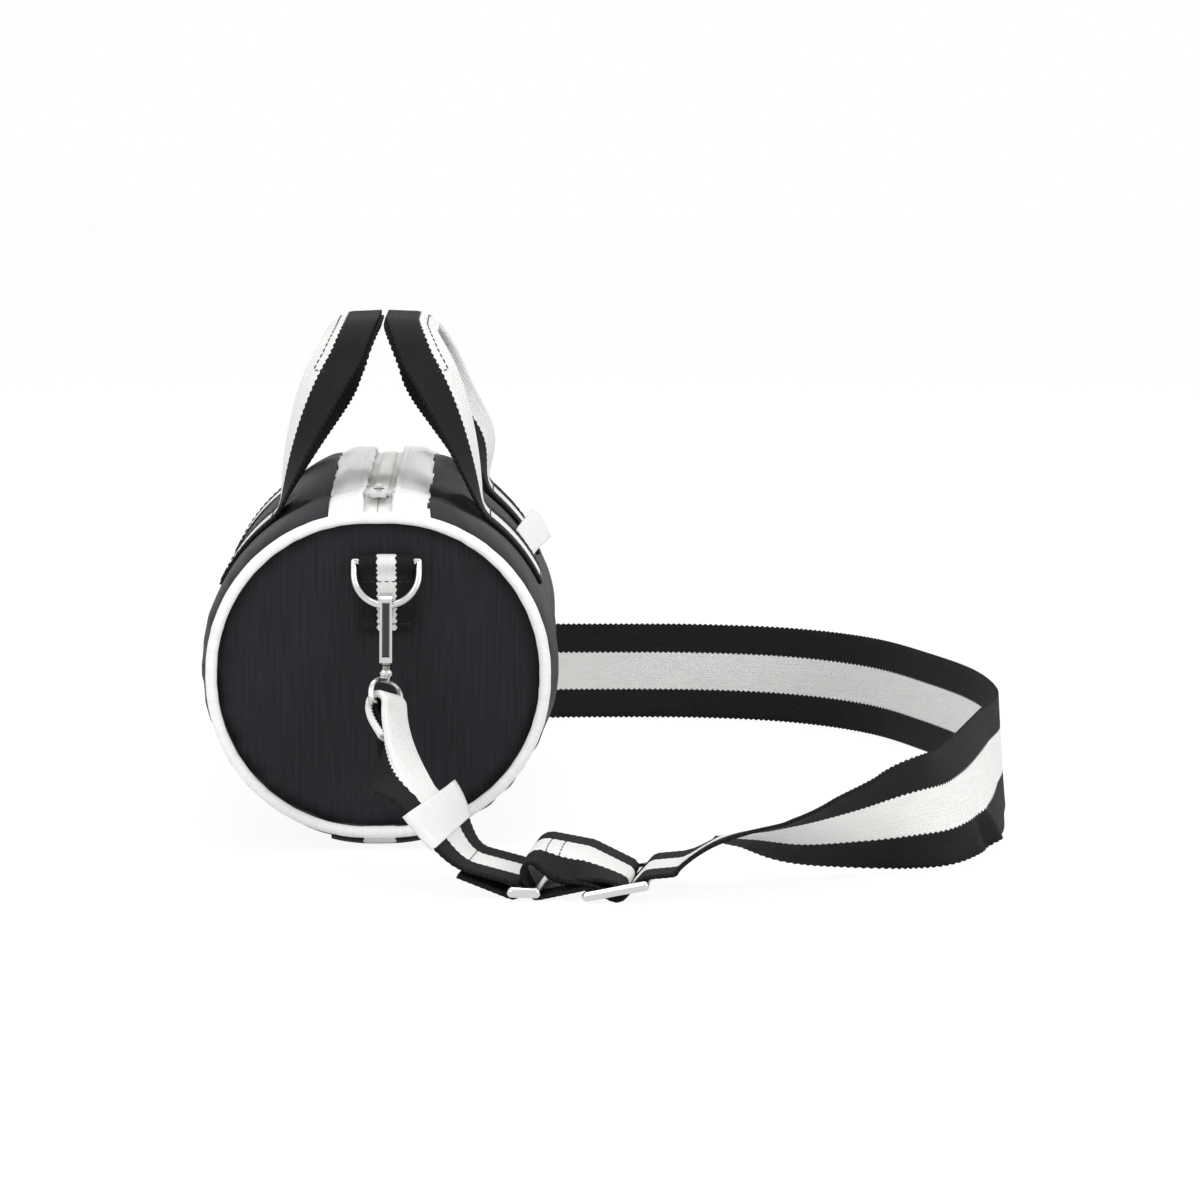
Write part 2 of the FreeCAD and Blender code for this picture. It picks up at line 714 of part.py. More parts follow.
def d_ring_tab(end):
    width = "Sizes.tab_webbing_width"
    across = Rotation(Vector(0, 1, 0), 90)
    reach = "Sizes.tab_webbing + Sizes.ring_wire / 2 + Sizes.webbing_gap"
    layers = primitive("Box", f"{end}TabLayers",
                       {"Length": width, "Width": "2 * Sizes.tab_webbing", "Height": "Sizes.tab_length"},
                       (f"-{width} / 2", f"{reach} - 2 * Sizes.tab_webbing", "-Sizes.tab_length * 1 mm"))
    loop = primitive("Cylinder", f"{end}TabLoop", {"Radius": reach, "Height": width},
                     (f"-{width} / 2", "0 mm", "0 mm"), across)
    bore = primitive("Cylinder", f"{end}TabBore",
                     {"Radius": "Sizes.ring_wire / 2 + Sizes.webbing_gap", "Height": f"2 * {width}"},
                     (f"-{width}", "0 mm", "0 mm"), across)
    tab = cut(f"{end}Tab", joined(f"{end}TabCloth", [layers, loop]), bore)
    keep(f"{end}_d_ring_tab", tab, placed(end, Placement(bar_place, Rotation())))


def d_ring(end):
    wire = "Sizes.ring_wire / 2"
    reach = "(Sizes.d_ring_inner_width + Sizes.ring_wire) / 2"
    straight = f"(Sizes.d_ring_depth - {reach})"
    across = Rotation(Vector(0, 1, 0), 90)
    pieces = [primitive("Cylinder", f"{end}RingBar", {"Radius": wire, "Height": f"2 * {reach}"},
                        (f"-{reach} * 1 mm", "0 mm", "0 mm"), across)]
    for place, sign in (("Left", "-"), ("Right", "")):
        at = f"{sign}{reach} * 1 mm"
        pieces.append(primitive("Cylinder", f"{end}Ring{place}", {"Radius": wire, "Height": straight},
                                (at, "0 mm", f"-{straight} * 1 mm")))
        corner = (at, "0 mm", "0 mm")
        pieces.append(primitive("Sphere", f"{end}RingCorner{place}", {"Radius": wire}, corner))
    bow = primitive("Torus", f"{end}RingBow", {"Radius1": reach, "Radius2": wire, "Angle3": "180 deg"},
                    ("0 mm", "0 mm", f"-{straight} * 1 mm"), Rotation(Vector(1, 0, 0), -90))
    ring = joined(f"{end}Ring", pieces + [bow])
    hang = Placement(bar_place, Rotation(Vector(1, 0, 0), -size["d_ring_tilt"]))
    keep(f"{end}_d_ring", ring, placed(end, hang))


pivot_y = "(hook_inner_radius + gate_depth / 2 + gate_clearance / 2)"
pivot_z = "(hook_base - gate_pivot_drop)"


def hook(end):
    """The hook's plate, with its opening, its gate gap and the fork that holds the gate."""
    body = doc.addObject("PartDesign::Body", f"{end}Hook")
    plate = [(f"-{hook_outer}", "0"), (hook_outer, "0"), (hook_outer, bend_height, bend_height),
             (f"-{hook_outer}", bend_height)]
    pad(body, outline(body, f"{end}HookPlate", "YZ_Plane", plate), "hook_thickness")
    inside = [("-hook_inner_radius", "hook_base"), ("hook_inner_radius", "hook_base"),
              ("hook_inner_radius", bend_height, bend_height), ("-hook_inner_radius", bend_height)]
    pocket(body, outline(body, f"{end}HookInside", "YZ_Plane", inside), "2 * hook_thickness")
    mouth = rectangle("0", "hook_length", "hook_base", f"{bend_height} - nose_drop")
    pocket(body, outline(body, f"{end}HookMouth", "YZ_Plane", mouth), "2 * hook_thickness")
    fork = rectangle("hook_inner_radius - 2 * gate_clearance", "hook_length",
                     "gate_clearance", "hook_length / 3")
    pocket(body, outline(body, f"{end}HookFork", "YZ_Plane", fork), "gate_thickness + 2 * gate_clearance")
    pocket(body, round_hole(body, f"{end}StudBore", "XY_Plane", "stud_diameter / 2 + stud_clearance"),
           "3 * hook_base")
    pin_hole = round_hole(body, f"{end}PinHole", "YZ_Plane", "gate_pin / 2", pivot_y, pivot_z)
    pocket(body, pin_hole, "2 * hook_thickness")
    keep(f"{end}_hook", body, placed(end, hook_frame))


def gate(end):
    """The gate stands in the fork and closes the mouth up to the nose; a leaf spring holds it shut."""
    body = doc.addObject("PartDesign::Body", f"{end}Gate")
    top = f"{bend_height} - nose_drop - gate_clearance - gate_depth / 2 - {pivot_z}"
    bar_outline = [("-gate_depth / 2", "0", "0"), ("gate_depth / 2", "0"),
                   ("gate_depth / 2", top, top), ("-gate_depth / 2", top)]
    pad(body, outline(body, f"{end}GateBar", "YZ_Plane", bar_outline), "gate_thickness")
    bore = round_hole(body, f"{end}GateBore", "YZ_Plane", "gate_pin / 2 + gate_clearance / 2")
    pocket(body, bore, "2 * gate_thickness")
    axle = Vector(0, number(pivot_y), number(pivot_z))
    pivot = placed(end, hook_frame).multiply(Placement(axle, Rotation()))
    keep(f"{end}_hook_gate", body, pivot)
    pin = primitive("Cylinder", f"{end}GatePin", {"Radius": "Sizes.gate_pin / 2",
                                                 "Height": "Sizes.hook_thickness"})
    across = Rotation(Vector(0, 1, 0), 90)
    pin_end = Vector(-size["hook_thickness"] / 2, 0, 0)
    keep(f"{end}_gate_pin", pin, pivot.multiply(Placement(pin_end, across)))
    leaf = primitive("Box", f"{end}GateSpring", {
        "Length": "Sizes.spring_width", "Width": "Sizes.spring_leaf",
        "Height": "Sizes.hook_base - 2 * Sizes.gate_clearance"})
    spring_gap = size["spring_leaf"] + size["gate_clearance"] / 2
    place = Vector(-size["spring_width"] / 2, size["hook_inner_radius"] - spring_gap, spring_gap)
    keep(f"{end}_gate_spring", leaf, placed(end, hook_frame).multiply(Placement(place, Rotation())))


def swivel_eye(end):
    neck = "Sizes.neck_length"
    drop = f"({neck} + Sizes.ring_wire / 2)"
    stud_length = f"({drop} + Sizes.hook_base + Sizes.stud_clearance)"
    pieces = wire_loop(f"{end}Eye", "Sizes.eye_inner_width", "Sizes.eye_inner_height", "Sizes.ring_wire")
    pieces.append(primitive("Cylinder", f"{end}Stud", {"Radius": "Sizes.stud_diameter / 2",
                                                      "Height": stud_length}))
    pieces.append(primitive("Cylinder", f"{end}StudHead",
                            {"Radius": "Sizes.stud_head_diameter / 2",
                             "Height": "Sizes.stud_head"}, ("0 mm", "0 mm", stud_length)))
    drop_value = size["neck_length"] + size["ring_wire"] / 2
    eye = joined(f"{end}Eye", pieces)
    keep(f"{end}_swivel_eye", eye,
         eye_frame(end).multiply(Placement(Vector(0, 0, -drop_value), Rotation())))


for end in ("near", "far"):
    d_ring_tab(end)
    d_ring(end)
    hook(end)
    gate(end)
    swivel_eye(end)


# The shoulder strap. Seen along its width it is a belt over and under round bars.
BELT_STEP = math.radians(24)
EYE_STEP = 20
RUN_STEPS = 8
RISE_STEPS = 12
OPENING_RATE = 2.2


def belt(circles):
    """Points and headings along a belt: each circle is a place, a height, a radius and a turn.

    The turn is 1 where the belt goes round counter-clockwise and -1 where it goes clockwise.
    """
    headings = []
    for (s1, z1, r1, turn1), (s2, z2, r2, turn2) in zip(circles, circles[1:]):
        distance = math.hypot(s2 - s1, z2 - z1)
        bearing = math.atan2(z2 - z1, s2 - s1)
        headings.append(bearing - math.asin((turn2 * r2 - turn1 * r1) / distance))
    path = [(circles[0][0], circles[0][1], headings[0])]
    for (s, z, r, turn), before, after in zip(circles[1:-1], headings, headings[1:]):
        sweep = (after - before) * turn % (2 * math.pi)
        steps = max(1, math.ceil(sweep / BELT_STEP))
        for step in range(steps + 1):
            heading = before + turn * sweep * step / steps
            path.append((s + turn * r * math.sin(heading), z - turn * r * math.cos(heading), heading))
    path.append((circles[-1][0], circles[-1][1], headings[-1]))
    return path


strap = size["webbing"]
heading = math.radians(size["strap_heading"])
forward = Vector(math.cos(heading), math.sin(heading), 0)
sideways = Vector(-math.sin(heading), math.cos(heading), 0)
near_eye_bar = eye_frame("near").multVec(Vector(0, 0, eye_low))
strap_origin = Vector(near_eye_bar.x, near_eye_bar.y - size["ring_lead"], 0)


def in_plane(points, width, thickness):
    """Stations of a belt in the upright plane of the adjuster."""
    return [(strap_origin + forward * s + Vector(0, 0, z), sideways,
             forward * math.cos(turned) + Vector(0, 0, math.sin(turned)), width, thickness)
            for s, z, turned in points]


def eye_wrap(end):
    """Stations of the folded strap over an eye's bar: up from the tail, over, and down the outside."""
    frame = eye_frame(end)
    reach = size["ring_wire"] / 2 + size["webbing_gap"] + size["folded_thickness"] / 2
    stations = []
    places = [(-reach, -size["strap_tail"], 90)]
    places += [(reach * math.cos(math.radians(a)), reach * math.sin(math.radians(a)), a - 90)
               for a in range(180, -1, -EYE_STEP)]
    for s, z, turned in places:
        along = Vector(0, -math.cos(math.radians(turned)), math.sin(math.radians(turned)))
        centre = frame.multVec(Vector(0, -s, eye_low + z))
        stations.append((centre, frame.Rotation.multVec(Vector(1, 0, 0)), frame.Rotation.multVec(along),
                         size["folded_width"], size["folded_thickness"]))
    return stations


def opened(run, first, last):
    """Stations along a free run, with the webbing turning and opening from one end to the other."""
    stations = []
    for place, along, t in run:
        ease = eased(t)
        across = first[1] * (1 - ease) + last[1] * ease
        across = across - along * across.dot(along)
        width = first[3] + (last[3] - first[3]) * min(1, OPENING_RATE * t)
        thick = first[4] + (last[4] - first[4]) * ease
        stations.append((place, across, along, width, thick))
    return stations


ring_bar = size["strap_ring_wire"] / 2 + size["webbing_gap"] + strap / 2
ring_z = strap + size["seam_gap"] + size["strap_ring_wire"] / 2 + size["webbing_gap"]
ring_left = size["strap_ring_reach"]
ring_right = ring_left + size["strap_ring_bar_spacing"]
bar = size["adjuster_wire"] / 2 + size["webbing_gap"] + strap / 2
layer = strap + size["seam_gap"]
lift = math.sin(math.radians(size["adjuster_tilt"])) * size["adjuster_bar_spacing"]
pitch = math.cos(math.radians(size["adjuster_tilt"])) * size["adjuster_bar_spacing"]
centre_s = size["adjuster_reach"]
centre_z = bar + layer + strap / 2 + size["seam_gap"]

# The short strap: over the near eye, down to the ring, round its first bar and back.
near_wrap = eye_wrap("near")
slope_height = ring_z + ring_bar + size["slope_rise"]
short_end = in_plane(belt([
    (ring_left - size["strap_tail"], slope_height, 0, 1),
    (ring_left, ring_z, ring_bar, -1),
    (ring_left - size["strap_tail"], slope_height - 2 * layer, 0, 1),
]), size["webbing_width"], strap)
first, last = near_wrap[-1], short_end[0]
drop_run = blend_run(first[0], first[2] * size["eye_pull"], last[0], last[2] * size["ring_pull"],
                     RUN_STEPS)
drop_stations = opened(drop_run, first, last)
short_stations = near_wrap + drop_stations[1:-1] + short_end
soft("short_strap", band(short_stations))

# The long strap: its sewn tail round the adjuster's middle bar, back to the ring in a low arch, out
# through the adjuster again and away along the floor to the far eye.
arch_inset = size["arch_radius"] + strap
threaded = belt([
    (centre_s - 2 * pitch, centre_z - lift + bar + 2 * layer, 0, 1),
    (centre_s - pitch, centre_z - lift, bar + layer, -1),
    (centre_s, centre_z, bar, 1),
    (centre_s - pitch - arch_inset, size["arch_height"], size["arch_radius"], 1),
    (ring_right + arch_inset, size["arch_height"], size["arch_radius"], 1),
    (ring_right, ring_z, ring_bar, 1),
    (centre_s - pitch, centre_z - lift, bar, -1),
    (centre_s, centre_z, bar + layer, 1),
    (centre_s + pitch, centre_z + lift, bar, -1),
    (centre_s + 2 * pitch, centre_z + 2 * lift + layer, 0, 1),
])
adjuster_run = in_plane(threaded, size["webbing_width"], strap)
corners = [adjuster_run[-1][0]]
corners += [Vector(x, share * half_length + beyond, z) for x, share, beyond, z, roll in STRAP_ROUTE]
rolls = [0] + [station[-1] for station in STRAP_ROUTE]


def route_station(index, t):
    """A station on the smooth curve through the route's points."""
    around = [corners[min(max(index + step, 0), len(corners) - 1)] for step in (-1, 0, 1, 2)]
    before, start, end, after = around
    pull, push = (end - before) * 0.5, (after - start) * 0.5
    place = (start * (2 * t ** 3 - 3 * t ** 2 + 1) + pull * (t ** 3 - 2 * t ** 2 + t)
             + end * (3 * t ** 2 - 2 * t ** 3) + push * (t ** 3 - t ** 2))
    along = (start * (6 * t ** 2 - 6 * t) + pull * (3 * t ** 2 - 4 * t + 1)
             + end * (6 * t - 6 * t ** 2) + push * (3 * t ** 2 - 2 * t)).normalize()
    roll = math.radians(rolls[index] + (rolls[index + 1] - rolls[index]) * t)
    level = Vector(-along.y, along.x, 0).normalize()
    across = level * math.cos(roll) - Vector(0, 0, 1) * math.sin(roll)
    across = across - along * across.dot(along)
    return place, across, along, size["webbing_width"], strap


route = [route_station(index, t) for index in range(len(corners) - 1) for t in (0, 1 / 2)]
route.append(route_station(len(corners) - 2, 1))
far_wrap = list(reversed(eye_wrap("far")))
far_wrap = [(c, -a, -d, w, t) for c, a, d, w, t in far_wrap]
first, last = route[-1], far_wrap[0]
rise_run = blend_run(first[0], first[2] * size["floor_pull"], last[0], last[2] * size["rise_pull"],
                     RISE_STEPS)
long_stations = adjuster_run + route[1:] + opened(rise_run, first, last)[1:-1] + far_wrap
soft("long_strap", band(long_stations))


# The blank label is a cloth sleeve round the short strap.
def sleeve(stations, gap):
    """The stations of a band that stands clear of these by a gap all round."""
    return [(c, a, d, w + 2 * gap, t + 2 * gap) for c, a, d, w, t in stations]


LABEL_FIRST, LABEL_LAST = 4, 6
label_gap = size["webbing_gap"]
outer = band(sleeve(drop_stations[LABEL_FIRST:LABEL_LAST + 1], label_gap + size["label_thickness"]))
inner = band(sleeve(drop_stations[LABEL_FIRST - 1:LABEL_LAST + 2], label_gap))
soft("strap_label", outer.cut(inner))
for name, stations in (("long strap", long_stations), ("short strap", short_stations)):
    print(name, round(sum((b[0] - a[0]).Length for a, b in zip(stations, stations[1:])), 1))

# The ring and the adjuster, bent from round wire.
level_turn = Rotation(Vector(0, 0, 1), size["strap_heading"])


def ladder(name, bars, part):
    """Round bars across the strap, between heavier side rails with round ends."""
    wire = f"Sizes.{part}_wire / 2"
    rail = f"Sizes.{part}_rail / 2"
    spacing = f"Sizes.{part}_bar_spacing"
    reach = f"(Sizes.webbing_width / 2 + Sizes.webbing_gap + {rail})"
    across = Rotation(Vector(1, 0, 0), -90)
    along = Rotation(Vector(0, 1, 0), 90)
    pieces = [primitive("Cylinder", f"{name}Bar{index}", {"Radius": wire, "Height": f"2 * {reach}"},
                        (f"{index} * {spacing}", f"-{reach} * 1 mm", "0 mm"), across)
              for index in range(bars)]
    length = f"{bars - 1} * {spacing}"
    for place, sign in (("Near", "-"), ("Far", "")):
        side = f"{sign}{reach} * 1 mm"
        pieces.append(primitive("Cylinder", f"{name}Rail{place}", {"Radius": rail, "Height": length},
                                ("0 mm", side, "0 mm"), along))
        for corner, at in (("Start", "0 mm"), ("End", length)):
            knob = (at, side, "0 mm")
            pieces.append(primitive("Sphere", f"{name}{place}{corner}", {"Radius": rail}, knob))
    return joined(name, pieces)


def ladder_place(s, z, tilt_angle):
    turned = level_turn.multiply(Rotation(Vector(0, 1, 0), -tilt_angle))
    return Placement(strap_origin + forward * s + Vector(0, 0, z), turned)


keep("strap_ring", ladder("StrapRing", 2, "strap_ring"), ladder_place(ring_left, ring_z, 0))
keep("strap_adjuster", ladder("Adjuster", 3, "adjuster"),
     ladder_place(centre_s - pitch, centre_z - lift, size["adjuster_tilt"]))

doc.recompute()
for thing in doc.Objects:
    if "Invalid" in thing.State or "Error" in thing.State:
        raise RuntimeError(f"{thing.Label} failed: {thing.State}")
for label, thing in nodes.items():
    if thing.Shape.isNull() or not thing.Shape.isValid():
        raise RuntimeError(f"{label} has no valid shape")
os.makedirs("parts", exist_ok=True)
for label, thing in nodes.items():
    thing.Shape.exportStep(f"parts/{label}.step")
print(len(nodes), "parts")
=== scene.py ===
"""A small barrel bag in black nylon: white piping and zip panel, striped webbing handles, and a
shoulder strap on snap hooks, laid beside it. Lengths are in millimetres until a mesh is made."""
import math

import bmesh
import bpy
import numpy as np
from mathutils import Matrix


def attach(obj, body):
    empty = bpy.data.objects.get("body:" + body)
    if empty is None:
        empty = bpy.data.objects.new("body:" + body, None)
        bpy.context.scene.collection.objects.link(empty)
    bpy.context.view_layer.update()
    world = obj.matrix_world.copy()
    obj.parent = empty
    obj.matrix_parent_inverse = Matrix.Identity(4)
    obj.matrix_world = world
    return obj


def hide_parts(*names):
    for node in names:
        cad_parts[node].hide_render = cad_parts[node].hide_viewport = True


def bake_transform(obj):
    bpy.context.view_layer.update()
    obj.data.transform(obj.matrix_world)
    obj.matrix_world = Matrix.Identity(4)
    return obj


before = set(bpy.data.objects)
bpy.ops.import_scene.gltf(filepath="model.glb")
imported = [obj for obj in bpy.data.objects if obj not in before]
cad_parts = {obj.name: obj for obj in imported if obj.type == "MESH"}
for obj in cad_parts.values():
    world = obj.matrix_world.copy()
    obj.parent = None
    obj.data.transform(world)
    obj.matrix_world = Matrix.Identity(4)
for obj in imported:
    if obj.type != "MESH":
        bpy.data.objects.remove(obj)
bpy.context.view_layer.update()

# The studio: a white floor that fades into a white room, soft lamps in front on both sides and one
# overhead, and a long lens almost end-on to the bag and a little above it.
CAMERA_PLACE = (0.0559, -1.9225, 0.366)
CAMERA_PITCH, CAMERA_YAW = 8.0, 1.36
CAMERA_LENS, SENSOR_WIDTH = 122.7, 36
FLOOR_HALF = 6.0
FLOOR_SHOWN, FLOOR_GLOW = 0.86, 1.06
ROOM_LIGHT = 0.55
WHITE, FLOOR_WHITE = (1, 1, 1, 1), (0.9, 0.9, 0.9, 1)
# place, aim, size in metres and power in watts
LAMPS = {
    "lamp_left": ((-1.5, -1.6, 1.5), (-0.05, 0, 0.09), 1.3, 24),
    "lamp_right": ((1.7, -1.3, 1.1), (0.1, 0, 0.08), 1.3, 22),
    "lamp_over": ((0.1, 0.3, 1.9), (0.05, 0, 0.1), 1.6, 17),
}


def put(tree, kind, inputs=None, **settings):
    """One shader node, its settings made and its inputs given values or fed by other sockets."""
    node = tree.nodes.new(kind)
    for key, value in settings.items():
        setattr(node, key, value)
    for key, value in (inputs or {}).items():
        if isinstance(value, bpy.types.NodeSocket):
            tree.links.new(value, node.inputs[key])
        else:
            node.inputs[key].default_value = value
    return node


def sum_of(tree, operation, first, second=0.0, third=0.0):
    """The result of one arithmetic node."""
    return put(tree, "ShaderNodeMath", {0: first, 1: second, 2: third}, operation=operation).outputs[0]


def seen_rays(tree):
    """1 for what the eye sees, straight on or in a shiny surface, and 0 for light that falls on things."""
    rays = put(tree, "ShaderNodeLightPath").outputs
    straight_or_shiny = sum_of(tree, "MAXIMUM", rays["Is Camera Ray"], rays["Is Glossy Ray"])
    return sum_of(tree, "MAXIMUM", straight_or_shiny, rays["Is Transmission Ray"])


room = bpy.data.worlds.new("white_room")
room.use_nodes = True
room.node_tree.nodes.clear()
lit = put(room.node_tree, "ShaderNodeBackground", {"Color": WHITE, "Strength": ROOM_LIGHT})
shown = put(room.node_tree, "ShaderNodeBackground", {"Color": WHITE, "Strength": 1.0})
both = put(room.node_tree, "ShaderNodeMixShader",
           {0: seen_rays(room.node_tree), 1: lit.outputs[0], 2: shown.outputs[0]})
put(room.node_tree, "ShaderNodeOutputWorld", {"Surface": both.outputs[0]})
bpy.context.scene.world = room

floor_mesh = bpy.data.meshes.new("studio_floor")
floor_corners = [(x * FLOOR_HALF, y * FLOOR_HALF, 0) for x, y in ((-1, -1), (1, -1), (1, 1), (-1, 1))]
floor_mesh.from_pydata(floor_corners, [], [(0, 1, 2, 3)])
floor = bpy.data.objects.new("studio_floor", floor_mesh)
bpy.context.collection.objects.link(floor)
floor_paint = bpy.data.materials.new("white_floor")
floor_paint.use_nodes = True
floor_paint.node_tree.nodes.clear()
matt = put(floor_paint.node_tree, "ShaderNodeBsdfDiffuse", {"Color": FLOOR_WHITE})
glow = put(floor_paint.node_tree, "ShaderNodeEmission", {"Color": WHITE, "Strength": FLOOR_GLOW})
share = sum_of(floor_paint.node_tree, "MULTIPLY", seen_rays(floor_paint.node_tree), FLOOR_SHOWN)
both = put(floor_paint.node_tree, "ShaderNodeMixShader", {0: share, 1: matt.outputs[0], 2: glow.outputs[0]})
put(floor_paint.node_tree, "ShaderNodeOutputMaterial", {"Surface": both.outputs[0]})
floor_mesh.materials.append(floor_paint)

for name, (place, target, size, power) in LAMPS.items():
    lamp = bpy.data.lights.new(name, "AREA")
    lamp.size = size
    lamp.energy = power
    lamp_object = bpy.data.objects.new(name, lamp)
    lamp_object.location = place
    aim = np.subtract(target, place)
    level = math.hypot(aim[0], aim[1])
    lamp_object.rotation_euler = (math.pi / 2 + math.atan2(aim[2], level), 0, math.atan2(-aim[0], aim[1]))
    bpy.context.collection.objects.link(lamp_object)

camera = bpy.data.cameras.new("camera")
camera.sensor_fit = "HORIZONTAL"
camera.sensor_width = SENSOR_WIDTH
camera.lens = CAMERA_LENS
camera_object = bpy.data.objects.new("camera", camera)
camera_object.location = CAMERA_PLACE
camera_object.rotation_euler = (math.radians(90 - CAMERA_PITCH), 0, math.radians(-CAMERA_YAW))
bpy.context.collection.objects.link(camera_object)
bpy.context.scene.camera = camera_object
bpy.context.scene.view_settings.view_transform = "Standard"

# The barrel: one wrap of coated black nylon from one edge of the zip panel round the bottom to the
# other, sewn at both ends into the end seams, where it puckers, and stuffed until it stands round.
MM = 0.001
HALF_LENGTH = 122.5
SHOULDER = 24
WIDTH, TOP, BOTTOM = 158, 158, 1.75
END_NARROWING, END_DROP, END_BOTTOM = 8, 7, 8
LEAST_FLAT = 3
CLOTH = 1.6
ZIP_PANEL_HALF = 22
BARREL_ROWS, BARREL_TURN_STEPS, BARREL_SIDE_STEPS = 161, 72, 3
# where the handles' sewn ends hold the cloth down, along the barrel and round it
SEWN_LOW, SEWN_TOP = math.radians(65), math.radians(36)
LEG_Y, LEG_REACH, LEG_FADE = 52, 34, 7
SEWN_MARGIN, SEWN_FADE = 0.16, 0.12
# heights, places, reaches and wavelengths of the stuffed cloth's unevenness
MOUND, MOUND_Y, MOUND_REACH, MOUND_BESIDE, MOUND_TURN = 4.6, 35, 62, 30, 1.5
ZIP_HELD, ZIP_HELD_FADE, END_FADE = 5, 11, 30
WAVE_RADIUS = 76
PUCKER, PUCKER_WAVES, PUCKER_REACH = 0.35, (14, 60), 9
HOLLOW, HOLLOW_WAVES = 1.1, (90, 80)
CREASE, CREASE_WIDTH, CREASE_X, CREASE_REACH = 3.2, 7, 20, 26
CREASE_Y, CREASE_SLANT = -62, 0.18
FOLDS, FOLD_PITCH, FOLD_SLANT, FOLD_START = 1.3, 3.2, 0.35, (30, -60)
FOLD_X, FOLD_X_REACH, FOLD_Y, FOLD_Y_REACH = 34, 14, -52, 24
SEAM_DIP, SEAM_WIDTH, SEAM_TURN = 0.9, 3, 1
UNDERSIDE_FADE = 0.5


def section_at(y):
    """The barrel's section at y, a rectangle with wide round corners that swells from the end seams
    over a quarter ellipse: half its level flats, the radius, and the corners' centre heights."""
    share = np.clip((HALF_LENGTH - np.abs(y)) / SHOULDER, 0, 1)
    pinch = 1 - np.sqrt(1 - (1 - share) ** 2)
    width = WIDTH - END_NARROWING * pinch
    top = TOP - END_DROP * pinch
    bottom = BOTTOM + (END_BOTTOM - BOTTOM) * pinch
    radius = np.minimum(width, top - bottom) / 2 - LEAST_FLAT / 2
    return width / 2 - radius, radius, top - radius, bottom + radius


def top_height(y, x, inset=0):
    """The height of the barrel's upper side."""
    flat, radius, high, low = section_at(y)
    return high + np.sqrt((radius - inset) ** 2 - np.maximum(np.abs(x) - flat, 0) ** 2)


def ripples(u, v, seed, waves=9):
    """Smooth uneven waves of about -1 to 1: plane waves added up, their directions, lengths and
    starts drawn from the seed; u and v are counted in mean wavelengths."""
    draw = np.random.default_rng(seed)
    total = np.zeros(np.broadcast(u, v).shape)
    for heading, length, start in draw.uniform((0, 0.6, 0), (2 * math.pi, 1.7, 2 * math.pi), (waves, 3)):
        total += np.sin((u * math.cos(heading) + v * math.sin(heading)) * 2 * math.pi / length + start)
    return total / math.sqrt(waves)


def bell(distance, reach):
    """1 at no distance, falling away smoothly within a few times the reach."""
    return np.exp(-(distance / reach) ** 2)


def fade(distance, length):
    """0 up to no distance and 1 past the length, with a gentle start and end between them."""
    t = np.clip(distance / length, 0, 1)
    return t * t * (3 - 2 * t)


def grid_of(*parts):
    """A grid of points or cloth coordinates, each of its parts spread over the whole grid."""
    return np.stack(np.broadcast_arrays(*parts), -1)


def length_along(path):
    """The length of a path from its start to each of its points."""
    return np.concatenate([[0], np.cumsum(np.linalg.norm(np.diff(path, axis=0), axis=-1))])


def grid_faces(points, uv=None, ring=False, loop=False):
    """Corners and faces of a grid of points; ring joins its last column to its first, and loop its
    last row to its first. uv has one more column or row where the grid is joined."""
    rows, columns = points.shape[:2]
    i, j = np.meshgrid(np.arange(rows - (not loop)), np.arange(columns - (not ring)), indexing="ij")
    below, beside = (i + 1) % rows * columns, (j + 1) % columns
    faces = np.stack([i * columns + j, i * columns + beside, below + beside, below + j], -1)
    if uv is None:
        uv = np.zeros((rows + loop, columns + ring, 2))
    corners = np.stack([uv[i, j], uv[i, j + 1], uv[i + 1, j + 1], uv[i + 1, j]], 2)
    return points.reshape(-1, 3), faces.reshape(-1, 4), corners.reshape(-1, 2)


def make_piece(name, parts, material, body, nodes=(), thickness=0, offset=0):
    """One mesh from grids of faces, with its thickness, its material, its body and what it stands for."""
    starts = np.cumsum([0] + [len(part[0]) for part in parts])
    mesh = bpy.data.meshes.new(name)
    faces = np.concatenate([part[1] + start for part, start in zip(parts, starts)])
    mesh.from_pydata((np.concatenate([part[0] for part in parts]) * MM).tolist(), [], faces.tolist())
    corners = mesh.uv_layers.new(name="Cloth")
    corners.data.foreach_set("uv", np.concatenate([part[2] for part in parts]).ravel())
    mesh.polygons.foreach_set("use_smooth", np.ones(len(mesh.polygons), bool))
    mesh.materials.append(material)
    piece = bpy.data.objects.new(name, mesh)
    bpy.context.collection.objects.link(piece)
    if thickness:
        wall = piece.modifiers.new("wall", "SOLIDIFY")
        wall.thickness = thickness * MM
        wall.offset = offset
    if body:
        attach(piece, body)
    if nodes:
        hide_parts(*nodes)
    return piece


def new_material(name, rough, **sockets):
    """A material with one Principled shader: its node tree and its shader."""
    material = bpy.data.materials.new(name)
    material.use_nodes = True
    shader = material.node_tree.nodes["Principled BSDF"]
    shader.inputs["Roughness"].default_value = rough
    for key, value in sockets.items():
        shader.inputs[key.replace("_", " ")].default_value = value
    return material, material.node_tree, shader


def mixed(tree, share, first, second):
    """A colour between two others."""
    mix = put(tree, "ShaderNodeMix", {"Factor": share, 6: first, 7: second}, data_type="RGBA")
    return mix.outputs[2]


def waves_along(tree, place, length):
    """A sine wave of the given length along a coordinate."""
    turn = sum_of(tree, "DIVIDE", 2 * math.pi, length)
    return sum_of(tree, "SINE", sum_of(tree, "MULTIPLY", place, turn))


def yarn_noise(tree, cloth, drawn_out, detail):
    """Slow unevenness of the yarn: noise on the cloth coordinates, drawn out along the threads."""
    drawn = put(tree, "ShaderNodeVectorMath", {0: cloth, 1: drawn_out}, operation="MULTIPLY")
    yarn = put(tree, "ShaderNodeTexNoise", {"Vector": drawn.outputs[0], "Scale": 1.0, "Detail": detail})
    return yarn.outputs["Fac"]


